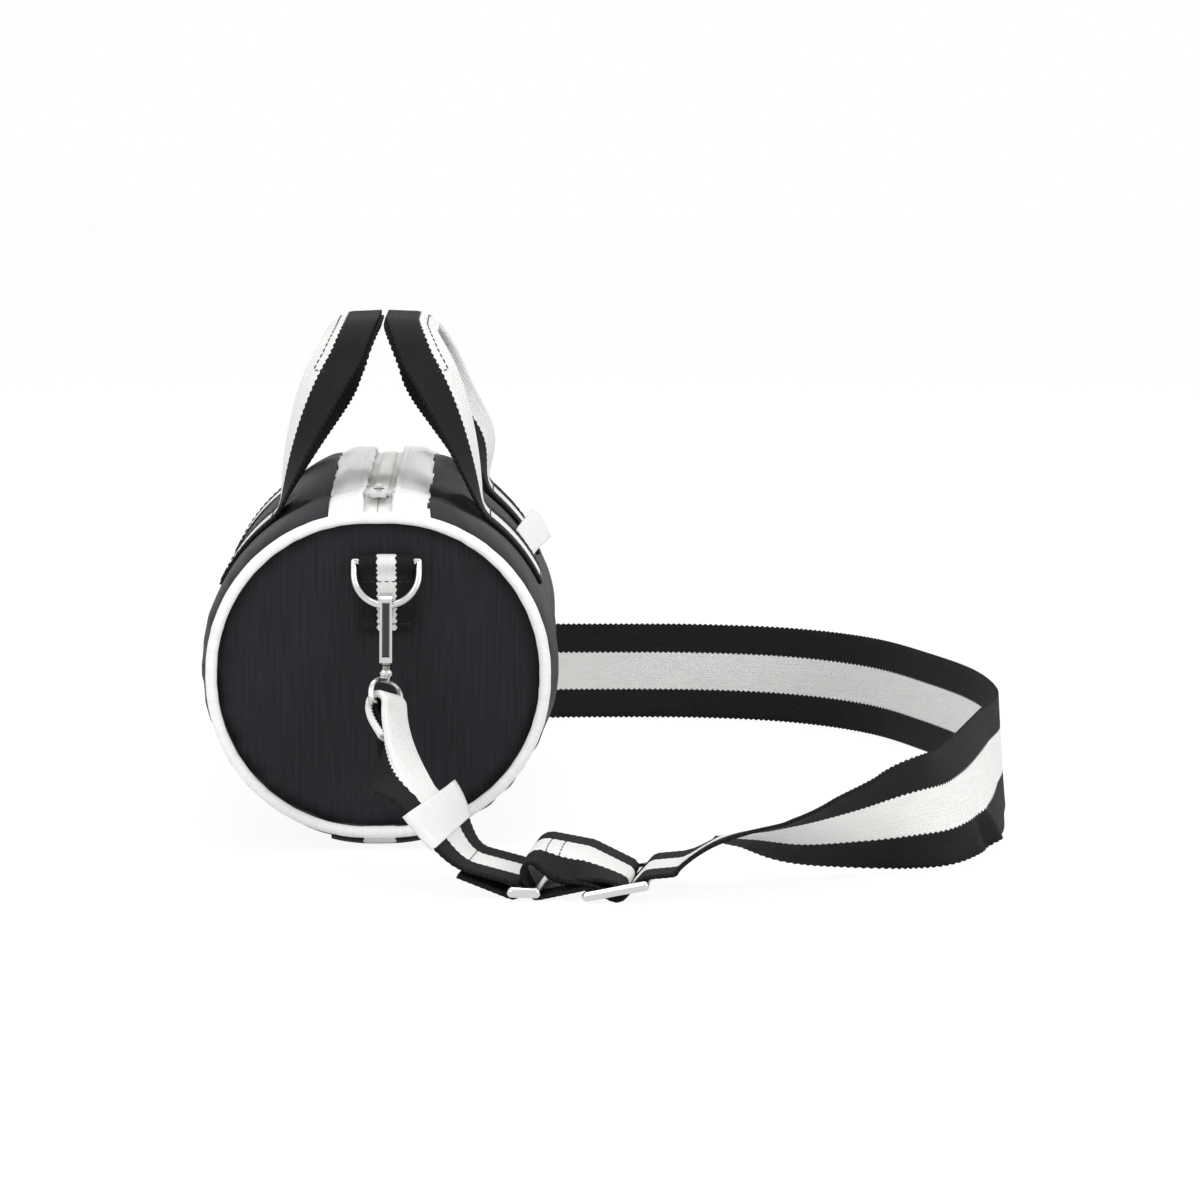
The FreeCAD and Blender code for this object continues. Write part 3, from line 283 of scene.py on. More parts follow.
def new_group(name, setting, results):
    """A shader node group on cloth coordinates with one more setting, and its input node."""
    tree = bpy.data.node_groups.new(name, "ShaderNodeTree")
    tree.interface.new_socket("Cloth", in_out="INPUT", socket_type="NodeSocketVector")
    tree.interface.new_socket(setting, in_out="INPUT", socket_type="NodeSocketFloat")
    for result in results:
        tree.interface.new_socket(result, in_out="OUTPUT", socket_type="NodeSocketFloat")
    return tree, put(tree, "NodeGroupInput")


def weave_group():
    """Plain weave of a given pitch in millimetres on a pair of cloth coordinates: the height of the
    threads as they pass over and under each other, and slow unevenness of the yarn."""
    tree, given = new_group("plain_weave", "Pitch", ("Height", "Streak"))
    parts = put(tree, "ShaderNodeSeparateXYZ", {0: given.outputs["Cloth"]})
    across = waves_along(tree, parts.outputs[0], given.outputs["Pitch"])
    along = waves_along(tree, parts.outputs[1], given.outputs["Pitch"])
    height = sum_of(tree, "MULTIPLY_ADD", across, along, 0.5)
    streak = yarn_noise(tree, given.outputs["Cloth"], (0.9, 0.035, 1), 3.0)
    put(tree, "NodeGroupOutput", {"Height": height, "Streak": streak})
    return tree


plain_weave = weave_group()


def cloth_material(name, dark, light, pitch, rough, raised, sheen, gloss=0.5):
    """Woven cloth: its two yarn colours mixed in fine streaks, and its threads raised a little."""
    material, tree, shader = new_material(name, rough, Sheen_Weight=sheen, Sheen_Roughness=0.4,
                                          Specular_IOR_Level=gloss)
    cloth = put(tree, "ShaderNodeUVMap", uv_map="Cloth")
    weave = put(tree, "ShaderNodeGroup", {"Cloth": cloth.outputs[0], "Pitch": pitch}, node_tree=plain_weave)
    streak = put(tree, "ShaderNodeMapRange", {0: weave.outputs["Streak"], 1: 0.32, 2: 0.68})
    tree.links.new(mixed(tree, streak.outputs[0], (*dark, 1), (*light, 1)), shader.inputs["Base Color"])
    bump = put(tree, "ShaderNodeBump", {"Strength": 0.6, "Distance": raised * MM,
                                        "Height": weave.outputs["Height"]})
    tree.links.new(bump.outputs[0], shader.inputs["Normal"])
    return material


def mound(x, y):
    """The stuffing pushes the top up behind the crease; along the zip the cloth stays down."""
    beside_zip = fade(np.abs(x) - ZIP_HELD, ZIP_HELD_FADE)
    beside_panel = bell(np.maximum(np.abs(x) - ZIP_PANEL_HALF, 0), MOUND_BESIDE)
    from_end = np.clip((HALF_LENGTH - np.abs(y)) / END_FADE, 0, 1)
    return MOUND * bell(y - MOUND_Y, MOUND_REACH) * from_end * beside_zip * beside_panel


def under_handle(turn, y):
    """One where a handle's sewn end holds the cloth down, fading to zero beside it."""
    along = fade(LEG_REACH - np.abs(np.abs(y) - LEG_Y), LEG_FADE)
    below_top = fade(turn - SEWN_TOP + SEWN_MARGIN, SEWN_FADE)
    above_low = fade(SEWN_LOW - turn + SEWN_MARGIN, SEWN_FADE)
    return along * below_top * above_low


def barrel_lift(x, turn, y, side):
    """How far the stuffed cloth stands off its plain form: puckers at the end seams, soft hollows,
    a crease across the top a third of the way back, and folds running down from the zip panel."""
    end_near = HALF_LENGTH - np.abs(y)
    along = turn * WAVE_RADIUS * side
    pucker = PUCKER * ripples(along / PUCKER_WAVES[0], y / PUCKER_WAVES[1], seed=3)
    pucker = pucker * bell(end_near - PUCKER_REACH, PUCKER_REACH)
    hollow = HOLLOW * ripples(along / HOLLOW_WAVES[0], y / HOLLOW_WAVES[1], seed=5)
    hollow = hollow * np.clip(end_near / END_FADE, 0, 1)
    crease = -CREASE * bell(y - CREASE_Y + CREASE_SLANT * x, CREASE_WIDTH)
    crease = crease * bell(np.abs(x) - CREASE_X, CREASE_REACH)
    fold_line = np.abs(x) - FOLD_START[0] - FOLD_SLANT * (y - FOLD_START[1])
    folds = FOLDS * np.sin(fold_line / FOLD_PITCH) * bell(y - FOLD_Y, FOLD_Y_REACH)
    folds = folds * bell(np.abs(x) - FOLD_X, FOLD_X_REACH)
    seam = -SEAM_DIP * bell(np.abs(x) - ZIP_PANEL_HALF, SEAM_WIDTH) * (turn < SEAM_TURN)
    lift = pucker + hollow + crease + folds + seam + mound(x, y) * (turn < MOUND_TURN)
    return lift - np.maximum(lift, 0) * under_handle(turn, y)


black_nylon = cloth_material("black_nylon", (0.007, 0.007, 0.0095), (0.014, 0.014, 0.018), 0.55, 0.55, 0.06,
                             0.02, gloss=0.18)

corner = np.linspace(0, 1, BARREL_TURN_STEPS)
side_flat = np.linspace(0, 1, BARREL_SIDE_STEPS)[1:-1]
y = -HALF_LENGTH * np.cos(np.linspace(0, math.pi, BARREL_ROWS))[:, None]
flat, radius, high, low = section_at(y)
first_turn = np.arcsin((ZIP_PANEL_HALF - flat) / radius)
upper_turn = first_turn + (math.pi / 2 - first_turn) * corner
lower_turn = np.broadcast_to(math.pi / 2 * (1 + corner), upper_turn.shape)
flat_turn = np.full((BARREL_ROWS, len(side_flat)), math.pi / 2)
turn = np.concatenate([upper_turn, flat_turn, lower_turn], 1)
centre = np.concatenate([high + 0 * corner, high + (low - high) * side_flat, low + 0 * corner], 1)
halves = []
for side in (1, -1):
    plain_x = flat + radius * np.sin(turn)
    lift = barrel_lift(plain_x, turn, y, side) * np.clip((math.pi - turn) / UNDERSIDE_FADE, 0, 1)
    x = side * (flat + (radius + lift) * np.sin(turn))
    halves.append(grid_of(x, y, centre + (radius + lift) * np.cos(turn)))
barrel = np.concatenate([halves[0], halves[1][:, ::-1]], 1)
girth = length_along(barrel[BARREL_ROWS // 2])
cloth = make_piece("barrel_cloth", [grid_faces(barrel, grid_of(y, girth))], black_nylon, "bag",
                   ["body_panel"], thickness=CLOTH, offset=-1)

# The end panels: rounds of the same nylon with the warp upright, drawn tight by the piping and a
# little slack in the middle; where the ring tab is sewn on, the cloth lies flat.
END_STEPS = 141
END_CLOTH, END_INSET = 1, 1
PANEL_SLACK, PANEL_WAVES = 0.7, (60, 75)
RIM_PUCKER, RIM_PUCKER_LENGTH, RIM_PUCKER_REACH = 0.5, 12, 0.1
RIM_DIP, RIM_DIP_REACH, RIM_FADE = 1.2, 0.05, 1 / 3
TAB_X, TAB_HEIGHT, TAB_CALM = 4, 114, 34

share = np.sin(np.linspace(-math.pi / 2, math.pi / 2, END_STEPS))
flat, radius, high, low = section_at(np.array(HALF_LENGTH))
corner_radius, middle = radius - CLOTH / 2, (high + low) / 2
x = share[None, :] * (flat + corner_radius)
rise = np.sqrt(np.maximum(corner_radius ** 2 - np.maximum(np.abs(x) - flat, 0) ** 2, 0))
height_share = share[:, None] / 2 + 0.5
z = (low - rise) * (1 - height_share) + (high + rise) * height_share
x = np.broadcast_to(x, z.shape)
rim_near = 1 - np.hypot(x / (flat + corner_radius), (z - middle) / (rise.max() + LEAST_FLAT / 2))
around = np.arctan2(x, z - middle) * radius
puckers = RIM_PUCKER * ripples(around / RIM_PUCKER_LENGTH, rim_near / RIM_FADE, seed=11)
puckers = puckers * bell(rim_near, RIM_PUCKER_REACH)
slack = PANEL_SLACK * ripples(x / PANEL_WAVES[0], z / PANEL_WAVES[1], seed=13)
slack = slack * np.clip(rim_near / RIM_FADE, 0, 1)
slack = puckers + slack - RIM_DIP * bell(rim_near, RIM_DIP_REACH)
for end, sign in (("near", -1), ("far", 1)):
    flatten = 1 - bell(np.hypot(x + sign * TAB_X, z - TAB_HEIGHT), TAB_CALM)
    panel = grid_of(x, sign * (HALF_LENGTH - END_INSET + (slack - PANEL_SLACK) * flatten), z)
    faces = grid_faces(panel[:, ::-sign], grid_of(x, z)[:, ::-sign])
    cloth = make_piece(f"{end}_end_cloth", [faces], black_nylon, "bag", [f"{end}_end_panel"],
                       thickness=END_CLOTH, offset=-1)
    cut = np.array((x.max() - x.min(), z.max() - z.min())) * MM
    math.pi / 4 * cut.prod()

# The piping: white bias-cut cloth round a cord, its flange caught in each end seam; its two ends
# overlap at the middle of the bottom.
PIPING, PIPING_OUT = 2.55, 1.9
PIPING_STEPS, PIPING_SIDES = 420, 18
PIPING_LUMPS, LUMP_LENGTH, LUMP_TURN = 0.025, 9, 6
OVERLAP_HALF, OVERLAP_SWELL = 7, 0.07
RIM_TURN_STEPS = 90


def unit(vectors):
    """Vectors divided by their lengths."""
    return vectors / np.linalg.norm(vectors, axis=-1, keepdims=True)


def rim_path(inset, count):
    """Points spaced evenly round the end seam from the middle of the bottom, with their outward
    directions, in the X and Z of the end; the length to each, and the whole length."""
    flat, radius, high, low = section_at(np.array(HALF_LENGTH))
    turns = np.linspace(math.pi, 0, RIM_TURN_STEPS)
    half_x = np.concatenate([[0], flat + (radius - inset) * np.sin(turns), [0]])
    half_z = np.where(turns > math.pi / 2, low, high) + (radius - inset) * np.cos(turns)
    half_z = np.concatenate([half_z[:1], half_z, half_z[-1:]])
    x = np.concatenate([half_x, -half_x[-2:0:-1], [0]])
    z = np.concatenate([half_z, half_z[-2:0:-1], half_z[:1]])
    length = length_along(np.stack([x, z], -1))
    at = np.arange(count) * length[-1] / count
    path = np.stack([np.interp(at, length, x), np.interp(at, length, z)], -1)
    ahead = unit(np.roll(path, -1, 0) - np.roll(path, 1, 0))
    return path, np.stack([ahead[:, 1], -ahead[:, 0]], -1), at, length[-1]


white_piping = cloth_material("white_piping", (0.84, 0.84, 0.835), (0.91, 0.91, 0.905), 0.5, 0.62, 0.08, 0.2)
path, outward, at, whole = rim_path(CLOTH / 2, PIPING_STEPS)
turn = np.linspace(0, 2 * math.pi, PIPING_SIDES, endpoint=False)[None, :]
from_joint = np.minimum(at, whole - at)[:, None]
lumps = PIPING_LUMPS * ripples(at[:, None] / LUMP_LENGTH, turn / LUMP_TURN, seed=17)
thick = PIPING * (1 + lumps + OVERLAP_SWELL * (from_joint < OVERLAP_HALF))
piping_uv = grid_of(np.linspace(0, whole, PIPING_STEPS + 1)[:, None],
                    np.linspace(0, 2 * math.pi * PIPING, PIPING_SIDES + 1))
beside = np.cos(turn) * thick
for end, sign in (("near", -1), ("far", 1)):
    points = np.stack([path[:, :1] + outward[:, :1] * beside,
                       sign * (HALF_LENGTH + PIPING_OUT + np.sin(turn) * thick),
                       path[:, 1:] + outward[:, 1:] * beside], -1)
    make_piece(f"{end}_piping_cord", [grid_faces(points[:, ::sign], piping_uv, ring=True, loop=True)],
               white_piping, "bag", [f"{end}_piping"])

# The seam bindings: inside the bag a black woven tape, folded over the raw edges of each end seam and
# sewn through.
BINDING_INSET, BINDING_PLACE = 2.6, 1.9
BINDING_WIDTH, BINDING_CUT, BINDING_CLOTH = 9.6, 10, 1
BINDING_ROWS, BINDING_STEPS = 6, 240
BINDING_WAVY, BINDING_WAVE = 0.35, 14

black_tape = cloth_material("black_tape", (0.014, 0.014, 0.015), (0.022, 0.022, 0.023), 0.8, 0.7, 0.1, 0.1)
path, outward, at, whole = rim_path(BINDING_INSET, BINDING_STEPS)
share = np.linspace(0, 1, BINDING_ROWS)[:, None]
wavy = BINDING_WAVY * ripples(at / BINDING_WAVE, share, seed=19)
tape_uv = grid_of(np.linspace(0, whole, BINDING_STEPS + 1), share * BINDING_CUT)
for end, sign in (("near", -1), ("far", 1)):
    points = grid_of(path[:, 0] - outward[:, 0] * wavy,
                     sign * (HALF_LENGTH - BINDING_PLACE - BINDING_WIDTH * share),
                     path[:, 1] - outward[:, 1] * wavy)
    make_piece(f"{end}_binding_tape", [grid_faces(points, tape_uv, ring=True)], black_tape, "bag",
               [f"{end}_seam_binding"], thickness=BINDING_CLOTH)

# The foot: a strip of heavy striped webbing, black with a white stripe woven in, sewn lengthwise under
# the bag from one end seam to the other.
BASE_HALF, BASE_STRIPE = 21.5, 7.25
WEBBING = 1.6
SEAM_GAP = 0.15
FOOT_ROWS, FOOT_COLUMNS = 121, 25
RIB, PICOT, THREAD = 1.5, 2.8, 0.95
RIB_SLANT, RIB_RAISED = 1.15, 0.22
RIB_SHARE, THREAD_SHARE = 0.62, 0.38
# colours of the webbing on the rib crests and in the grooves: the grooves' darker colours are painted shade
BLACK_GROOVE_SHADE, BLACK_CREST = (0.0015, 0.0015, 0.0015, 1), (0.017, 0.017, 0.016, 1)
WHITE_GROOVE_SHADE, WHITE_CREST = (0.62, 0.62, 0.605, 1), (0.93, 0.93, 0.915, 1)


def webbing_group():
    """Heavy webbing on cloth coordinates in millimetres: a mask for the stripe within a given half
    width, its edge stepped by the ribs, and the height of the slanting ribs."""
    tree, given = new_group("ribbed_webbing", "Stripe", ("Mask", "Height", "Yarn"))
    parts = put(tree, "ShaderNodeSeparateXYZ", {0: given.outputs["Cloth"]})
    across, along = parts.outputs[0], parts.outputs[1]
    rib = waves_along(tree, sum_of(tree, "MULTIPLY_ADD", across, RIB_SLANT, along), RIB)
    thread = sum_of(tree, "MULTIPLY", waves_along(tree, across, THREAD), THREAD_SHARE)
    height = sum_of(tree, "MULTIPLY_ADD", rib, RIB_SHARE, thread)
    step = sum_of(tree, "PINGPONG", along, PICOT / 2)
    edge = sum_of(tree, "MULTIPLY_ADD", step, 0.6, sum_of(tree, "ABSOLUTE", across))
    within = sum_of(tree, "SUBTRACT", given.outputs["Stripe"], edge)
    mask = put(tree, "ShaderNodeMapRange", {0: within, 1: -0.45, 2: -0.1})
    yarn = yarn_noise(tree, given.outputs["Cloth"], (1.1, 0.05, 1), 2.0)
    put(tree, "NodeGroupOutput", {"Mask": mask.outputs[0], "Height": height, "Yarn": yarn})
    return tree


ribbed_webbing = webbing_group()


def webbing_material(name, stripe):
    """Black webbing with a white stripe woven in, with painted shade in the grooves between its ribs, so that
    the ribs are lighter on top.
    """
    material, tree, shader = new_material(name, 0.72, Specular_IOR_Level=0.12)
    cloth = put(tree, "ShaderNodeUVMap", uv_map="Cloth")
    ribs = put(tree, "ShaderNodeGroup", {"Cloth": cloth.outputs[0], "Stripe": stripe},
               node_tree=ribbed_webbing)
    # painted shade: the colour darkens from the rib crests into the grooves, added to the yarn's own uneven
    # tone
    rib_light = put(tree, "ShaderNodeMapRange", {0: ribs.outputs["Height"], 1: -0.9, 2: 0.9})
    raised = sum_of(tree, "MULTIPLY", rib_light.outputs[0], 0.6)
    yarn_and_rib_shade = sum_of(tree, "MULTIPLY_ADD", ribs.outputs["Yarn"], 0.5, raised)
    black = mixed(tree, yarn_and_rib_shade, BLACK_GROOVE_SHADE, BLACK_CREST)
    white = mixed(tree, yarn_and_rib_shade, WHITE_GROOVE_SHADE, WHITE_CREST)
    tree.links.new(mixed(tree, ribs.outputs["Mask"], black, white), shader.inputs["Base Color"])
    bump = put(tree, "ShaderNodeBump", {"Strength": 0.7, "Distance": RIB_RAISED * MM,
                                        "Height": ribs.outputs["Height"]})
    tree.links.new(bump.outputs[0], shader.inputs["Normal"])
    return material


base_webbing = webbing_material("base_webbing", BASE_STRIPE)
y = np.linspace(-HALF_LENGTH, HALF_LENGTH, FOOT_ROWS)[:, None]
x = np.linspace(BASE_HALF, -BASE_HALF, FOOT_COLUMNS)
flat, radius, high, low = section_at(y)
under = low - np.sqrt(radius ** 2 - np.maximum(np.abs(x) - flat, 0) ** 2) - SEAM_GAP - WEBBING / 2
foot = make_piece("foot_webbing", [grid_faces(grid_of(x, y, under), grid_of(x, y))], base_webbing, "bag",
                  ["base_webbing"], thickness=WEBBING)

# The zip panel: two strips of white coated nylon, folded under along the zip and topstitched, and
# slack enough that their edges wander and the crease across the top runs through them.
SLIT_HALF = 6.5
STRIP_CLOTH, STRIP_OVER = 1.1, 0.35
STRIP_ROWS, STRIP_COLUMNS = 241, 36
STRIP_CREASE, STRIP_CREASE_WIDTH = 3.4, 8
STRIP_CREASE_FADE, STRIP_CREASE_LEAST = 14, 0.3
SLIT_PUCKER, SLIT_PUCKER_WAVES, SLIT_PUCKER_REACH = 0.35, (9, 30), 6
STRIP_SLACK, STRIP_SLACK_WAVE = 0.8, 40
ROLL, ROLL_IN, ROLL_WIDTH = 0.7, 1.2, 1.6
ROLL_EDGE, ROLL_EDGE_WIDTH = 0.8, 0.7
OUTER_SPREAD, OUTER_WANDER, OUTER_WAVE = 0.8, 0.7, 34
SLIT_WANDER, SLIT_WAVE = 0.35, 22
# length, gap and radius of the stitches, and the column and rows that they run along
TOPSTITCH = (2.3, 0.6, 0.22)
TOPSTITCH_COLUMN, TOPSTITCH_ENDS, TOPSTITCH_POINTS = 7, 4, 400

white_nylon = cloth_material("white_nylon", (0.84, 0.84, 0.85), (0.9, 0.9, 0.905), 0.5, 0.45, 0.06, 0.1)


def speckled_material(name, rough, scale, dark, light):
    """A finish whose colour changes between two tones in fine specks."""
    material, tree, shader = new_material(name, rough)
    specks = put(tree, "ShaderNodeTexNoise", {"Scale": scale})
    tree.links.new(mixed(tree, specks.outputs["Fac"], (*dark, 1), (*light, 1)), shader.inputs["Base Color"])
    return material


thread_white = speckled_material("white_thread", 0.6, 900.0, (0.66, 0.66, 0.65), (0.84, 0.84, 0.83))


def stitch_row(points, normals, length, gap, radius):
    """Stitches along a line: it is cut into even lengths, and in each lies a short thread, a spindle of
    six sides that dips into the cloth at both ends."""
    steps = length_along(points)
    count = max(1, int(steps[-1] // (length + gap)))
    middle = (np.arange(count) + 0.5) * steps[-1] / count

    def along(values, at):
        """Values of the line's points, read at lengths along it."""
        return np.stack([np.interp(at, steps, values[:, axis]) for axis in range(3)], -1)
    start, end = along(points, middle - length / 2), along(points, middle + length / 2)
    ahead = (end - start)[:, None, None]
    up = unit(along(normals, middle))[:, None, None]
    beside = unit(np.cross(ahead, up))
    share = np.array([-0.5, -0.36, 0, 0.36, 0.5])[:, None, None]
    swell = np.array([0.12, 0.8, 1, 0.8, 0.12])[:, None, None] * radius
    dip = np.array([-0.9, 0.1, 0.5, 0.1, -0.9])[:, None, None] * radius
    turn = np.linspace(0, 2 * math.pi, 6, endpoint=False)[:, None]
    centre = ((start + end) / 2)[:, None, None] + ahead * share + up * dip
    spindles = centre + (beside * np.cos(turn) + up * np.sin(turn)) * swell
    first, faces, corners = grid_faces(spindles[0], ring=True)
    shift = np.arange(count)[:, None, None] * len(first)
    return spindles.reshape(-1, 3), (faces + shift).reshape(-1, 4), np.tile(corners, (count, 1))


def grid_line(points, rows, columns):
    """A line on a grid through places given as fractional rows and columns, with its normals."""
    normals = np.cross(np.gradient(points, axis=1), np.gradient(points, axis=0))

    def read(values):
        """Values between the grid's points, in proportion to the four nearest."""
        i = np.clip(np.floor(rows).astype(int), 0, values.shape[0] - 2)
        j = np.clip(np.floor(columns).astype(int), 0, values.shape[1] - 2)
        s, t = (rows - i)[:, None], (columns - j)[:, None]
        return ((values[i, j] * (1 - s) + values[i + 1, j] * s) * (1 - t)
                + (values[i, j + 1] * (1 - s) + values[i + 1, j + 1] * s) * t)
    return read(points), read(normals)


def strip_lift(x, y):
    """The strips' slack: the crease across the top, fine puckers by the zip, and a rolled fold edge."""
    from_slit = np.abs(x) - SLIT_HALF
    crease = -STRIP_CREASE * bell(y - CREASE_Y + CREASE_SLANT * np.abs(x), STRIP_CREASE_WIDTH)
    crease = crease * np.clip(np.abs(x) / STRIP_CREASE_FADE, STRIP_CREASE_LEAST, 1)
    pucker = SLIT_PUCKER * ripples(y / SLIT_PUCKER_WAVES[0], x / SLIT_PUCKER_WAVES[1], seed=23)
    pucker = pucker * bell(from_slit, SLIT_PUCKER_REACH)
    slack = STRIP_SLACK * ripples(y / STRIP_SLACK_WAVE, x / STRIP_SLACK_WAVE, seed=29)
    edge_seam = -SEAM_DIP * bell(np.abs(x) - ZIP_PANEL_HALF, SEAM_WIDTH)
    rolled = ROLL * bell(from_slit - ROLL_IN, ROLL_WIDTH) - ROLL_EDGE * bell(from_slit, ROLL_EDGE_WIDTH)
    return crease + pucker + slack + edge_seam + rolled + mound(x, y)


y = np.linspace(-HALF_LENGTH, HALF_LENGTH, STRIP_ROWS)[:, None]
share = np.linspace(0, 1, STRIP_COLUMNS)
for name, side in (("left", -1), ("right", 1)):
    outer_edge = ZIP_PANEL_HALF + OUTER_SPREAD + OUTER_WANDER * ripples(y / OUTER_WAVE, 0 * y, seed=31 + side)
    slit_edge = SLIT_HALF + SLIT_WANDER * ripples(y / SLIT_WAVE, 0 * y, seed=37 + side)
    x = side * (slit_edge + (outer_edge - slit_edge) * share)
    points = grid_of(x, y, top_height(y, x) + STRIP_OVER + strip_lift(x, y))[:, ::side]
    strip = make_piece(f"zip_strip_{name}", [grid_faces(points, grid_of(x, y)[:, ::side])], white_nylon,
                       "bag", [f"zip_panel_{name}"], thickness=STRIP_CLOTH, offset=-1)
    rows = np.linspace(TOPSTITCH_ENDS, STRIP_ROWS - 1 - TOPSTITCH_ENDS, TOPSTITCH_POINTS)
    column = TOPSTITCH_COLUMN if side > 0 else STRIP_COLUMNS - 1 - TOPSTITCH_COLUMN
    line, normals = grid_line(points, rows, np.full(TOPSTITCH_POINTS, float(column)))
    make_piece(f"zip_topstitch_{name}", [stitch_row(line, normals, *TOPSTITCH)], thread_white, "bag")

# The zip: cream woven tapes with a coil of monofilament sewn along each edge, the two coils meshed from
# the slider to the far end. Past both ends of the coils the tapes are drawn together, up to the seams.
TAPE_HALF, TAPE_EDGE, TAPES_MEET, TAPE_CLOTH = 16, 1.1, 0.1, 0.6
TAPE_ROWS, TAPE_COLUMNS = 161, 14
TAPE_UNDER, TAPE_MOST_RISE, TAPE_SUNK = 0.4, 0.6, 0.3
MEET_FROM, MEET_FADE = 2, 7
TAPE_HEIGHT = float(top_height(np.array(0.0), TAPE_HALF, CLOTH)) - SEAM_GAP
SLIDER_Y = -89.7
COIL_END = HALF_LENGTH - SHOULDER
COIL_PITCH, COIL_WIRE = 1.5, 0.36
COIL_MIDDLE, COIL_HALF = (1.35, 0.75), (2.0, 0.65)
COIL_TURN_STEPS, COIL_SIDES = 14, 6

cream_tape = cloth_material("cream_tape", (0.79, 0.785, 0.76), (0.86, 0.855, 0.83), 0.7, 0.7, 0.12, 0.15)
coil_plastic = speckled_material("cream_coil", 0.42, 400.0, (0.78, 0.77, 0.73), (0.87, 0.86, 0.82))


def tape_height(y, x):
    """The tape lies under the strips and rises a little towards its coil."""
    under = top_height(y, np.minimum(np.abs(x), TAPE_HALF), CLOTH) - SEAM_GAP - TAPE_UNDER
    return np.minimum(under, top_height(y, TAPE_HALF + 0 * x, CLOTH) + TAPE_MOST_RISE)


y = np.linspace(-HALF_LENGTH, HALF_LENGTH, TAPE_ROWS)[:, None]
past_coils = np.maximum(SLIDER_Y - y, y - COIL_END)
edge = TAPE_EDGE - (TAPE_EDGE - TAPES_MEET) * fade(past_coils - MEET_FROM, MEET_FADE)
turn = np.arange(0, (COIL_END - SLIDER_Y) / COIL_PITCH * 2 * math.pi, 2 * math.pi / COIL_TURN_STEPS)
wire_turn = np.linspace(0, 2 * math.pi, COIL_SIDES, endpoint=False)[:, None]
for name, side in (("left", -1), ("right", 1)):
    x = side * (edge + (TAPE_HALF - edge) * np.linspace(0, 1, TAPE_COLUMNS))
    points = grid_of(x, y, tape_height(y, x) - TAPE_SUNK)
    faces = grid_faces(points[:, ::side], grid_of(x, y)[:, ::side])
    tape = make_piece(f"zip_tape_cloth_{name}", [faces], cream_tape, "bag",
                      [f"zip_tape_{name}"], thickness=TAPE_CLOTH)
    # each turn of the coil is one flattened loop, with its head past the middle
    centre = np.stack([side * (COIL_MIDDLE[0] - COIL_HALF[0] * np.cos(turn)),
                       SLIDER_Y + COIL_PITCH * turn / (2 * math.pi) + (COIL_PITCH / 2 if side > 0 else 0),
                       TAPE_HEIGHT + COIL_MIDDLE[1] + COIL_HALF[1] * np.sin(turn)], -1)
    ahead = unit(np.gradient(centre, axis=0))
    beside = unit(np.cross(ahead, (0, 1, 0)))
    up = np.cross(beside, ahead)
    wire = beside[:, None] * np.cos(wire_turn) + up[:, None] * np.sin(wire_turn)
    make_piece(f"zip_coil_{name}", [grid_faces(centre[:, None] + COIL_WIRE * wire, ring=True)], coil_plastic,
               "bag", [f"zip_teeth_{name}"])

# The slider, its pull and the stops: nickel-plated castings, as made. The slider grips the coils and
# the pull turns on its crown.
EDGE_ROUND, EDGE_STEPS, EDGE_ANGLE = 0.25, 2, math.radians(50)

nickel, nickel_tree, nickel_shader = new_material("nickel", 0.16, Metallic=1.0,
                                                  Base_Color=(0.62, 0.615, 0.605, 1))
nickel_wear = put(nickel_tree, "ShaderNodeTexNoise", {"Scale": 260.0, "Detail": 4.0})
nickel_rough = put(nickel_tree, "ShaderNodeMapRange",
                   {0: nickel_wear.outputs["Fac"], 1: 0.3, 2: 0.7, 3: 0.1, 4: 0.24})
nickel_tree.links.new(nickel_rough.outputs[0], nickel_shader.inputs["Roughness"])
steel = new_material("steel", 0.3, Metallic=1.0, Base_Color=(0.56, 0.57, 0.58, 1))[0]


def plate(material, *names):
    """The metal parts are shown as constructed, with their plating and their edges a little rounded."""
    for name in names:
        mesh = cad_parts[name].data
        mesh.materials.clear()
        mesh.materials.append(material)
        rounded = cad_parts[name].modifiers.new("rounded_edges", "BEVEL")
        rounded.width = EDGE_ROUND * MM
        rounded.segments = EDGE_STEPS
        rounded.limit_method = "ANGLE"
        rounded.angle_limit = EDGE_ANGLE


plate(nickel, "zip_slider", "zip_pull", "zip_top_stops", "zip_bottom_stop")

# The handles: one length of striped webbing each. Its ends are sewn flat on the barrel; from there the
# legs rise and close lengthwise like a book until the grip is double, with the white on the outside.
# Black stitching holds the fold shut along the grip, and boxes of it hold the ends on the barrel.
WEBBING_HALF, STRIPE = 25, 10
FOOT = np.array((45.66, -LEG_Y, 148.03))
CREST = np.array((26.2, -22, 230))
LEG_PULL, GRIP_PULL = np.array((0, 0, 52)), np.array((0, 34, 0))
SEWN_STEPS, LEG_STEPS, GRIP_STEPS = 40, 120, 20
STEP = 0.7
SPINE_RADIUS = 0.95
SHUT = math.radians(88)
FOLD_SHARE, FOLD_POWER = 0.64, 0.85
WHITE_TILT, TILT_EDGE, TILT_FADE = math.radians(30), 2, 4
SWAY, SWAY_LENGTH, SPINE_STIFF = 0.5, 60, 3
PATH_SOFT, OUTWARD_SOFT = 5, 8
TOOTH = 0.4
FAR_LEG_BULGE, BULGE_PLACE, BULGE_REACH = 7, 66, 20
HANDLE_STITCH = (2.6, 0.5, 0.35)
GRIP_STITCHED, STITCH_INSET, STITCH_TO = (0.32, 0.68), 6, 2.2
BOX_HALF, BOX_ENDS = 22, 2
GRIP_POINTS, TURN_POINTS, BOX_POINTS = 300, 20, 60

striped_webbing = webbing_material("striped_webbing", STRIPE)
black_thread = new_material("black_thread", 0.6, Base_Color=(0.012, 0.012, 0.013, 1))[0]


def bezier(start, start_pull, end, end_pull, count):
    """Points of a smooth run between two points, leaving and arriving along its pulls."""
    t = np.linspace(0, 1, count)[:, None]
    return (start * (1 - t) ** 3 + (start + start_pull) * 3 * t * (1 - t) ** 2
            + (end - end_pull) * 3 * t ** 2 * (1 - t) + end * t ** 3)


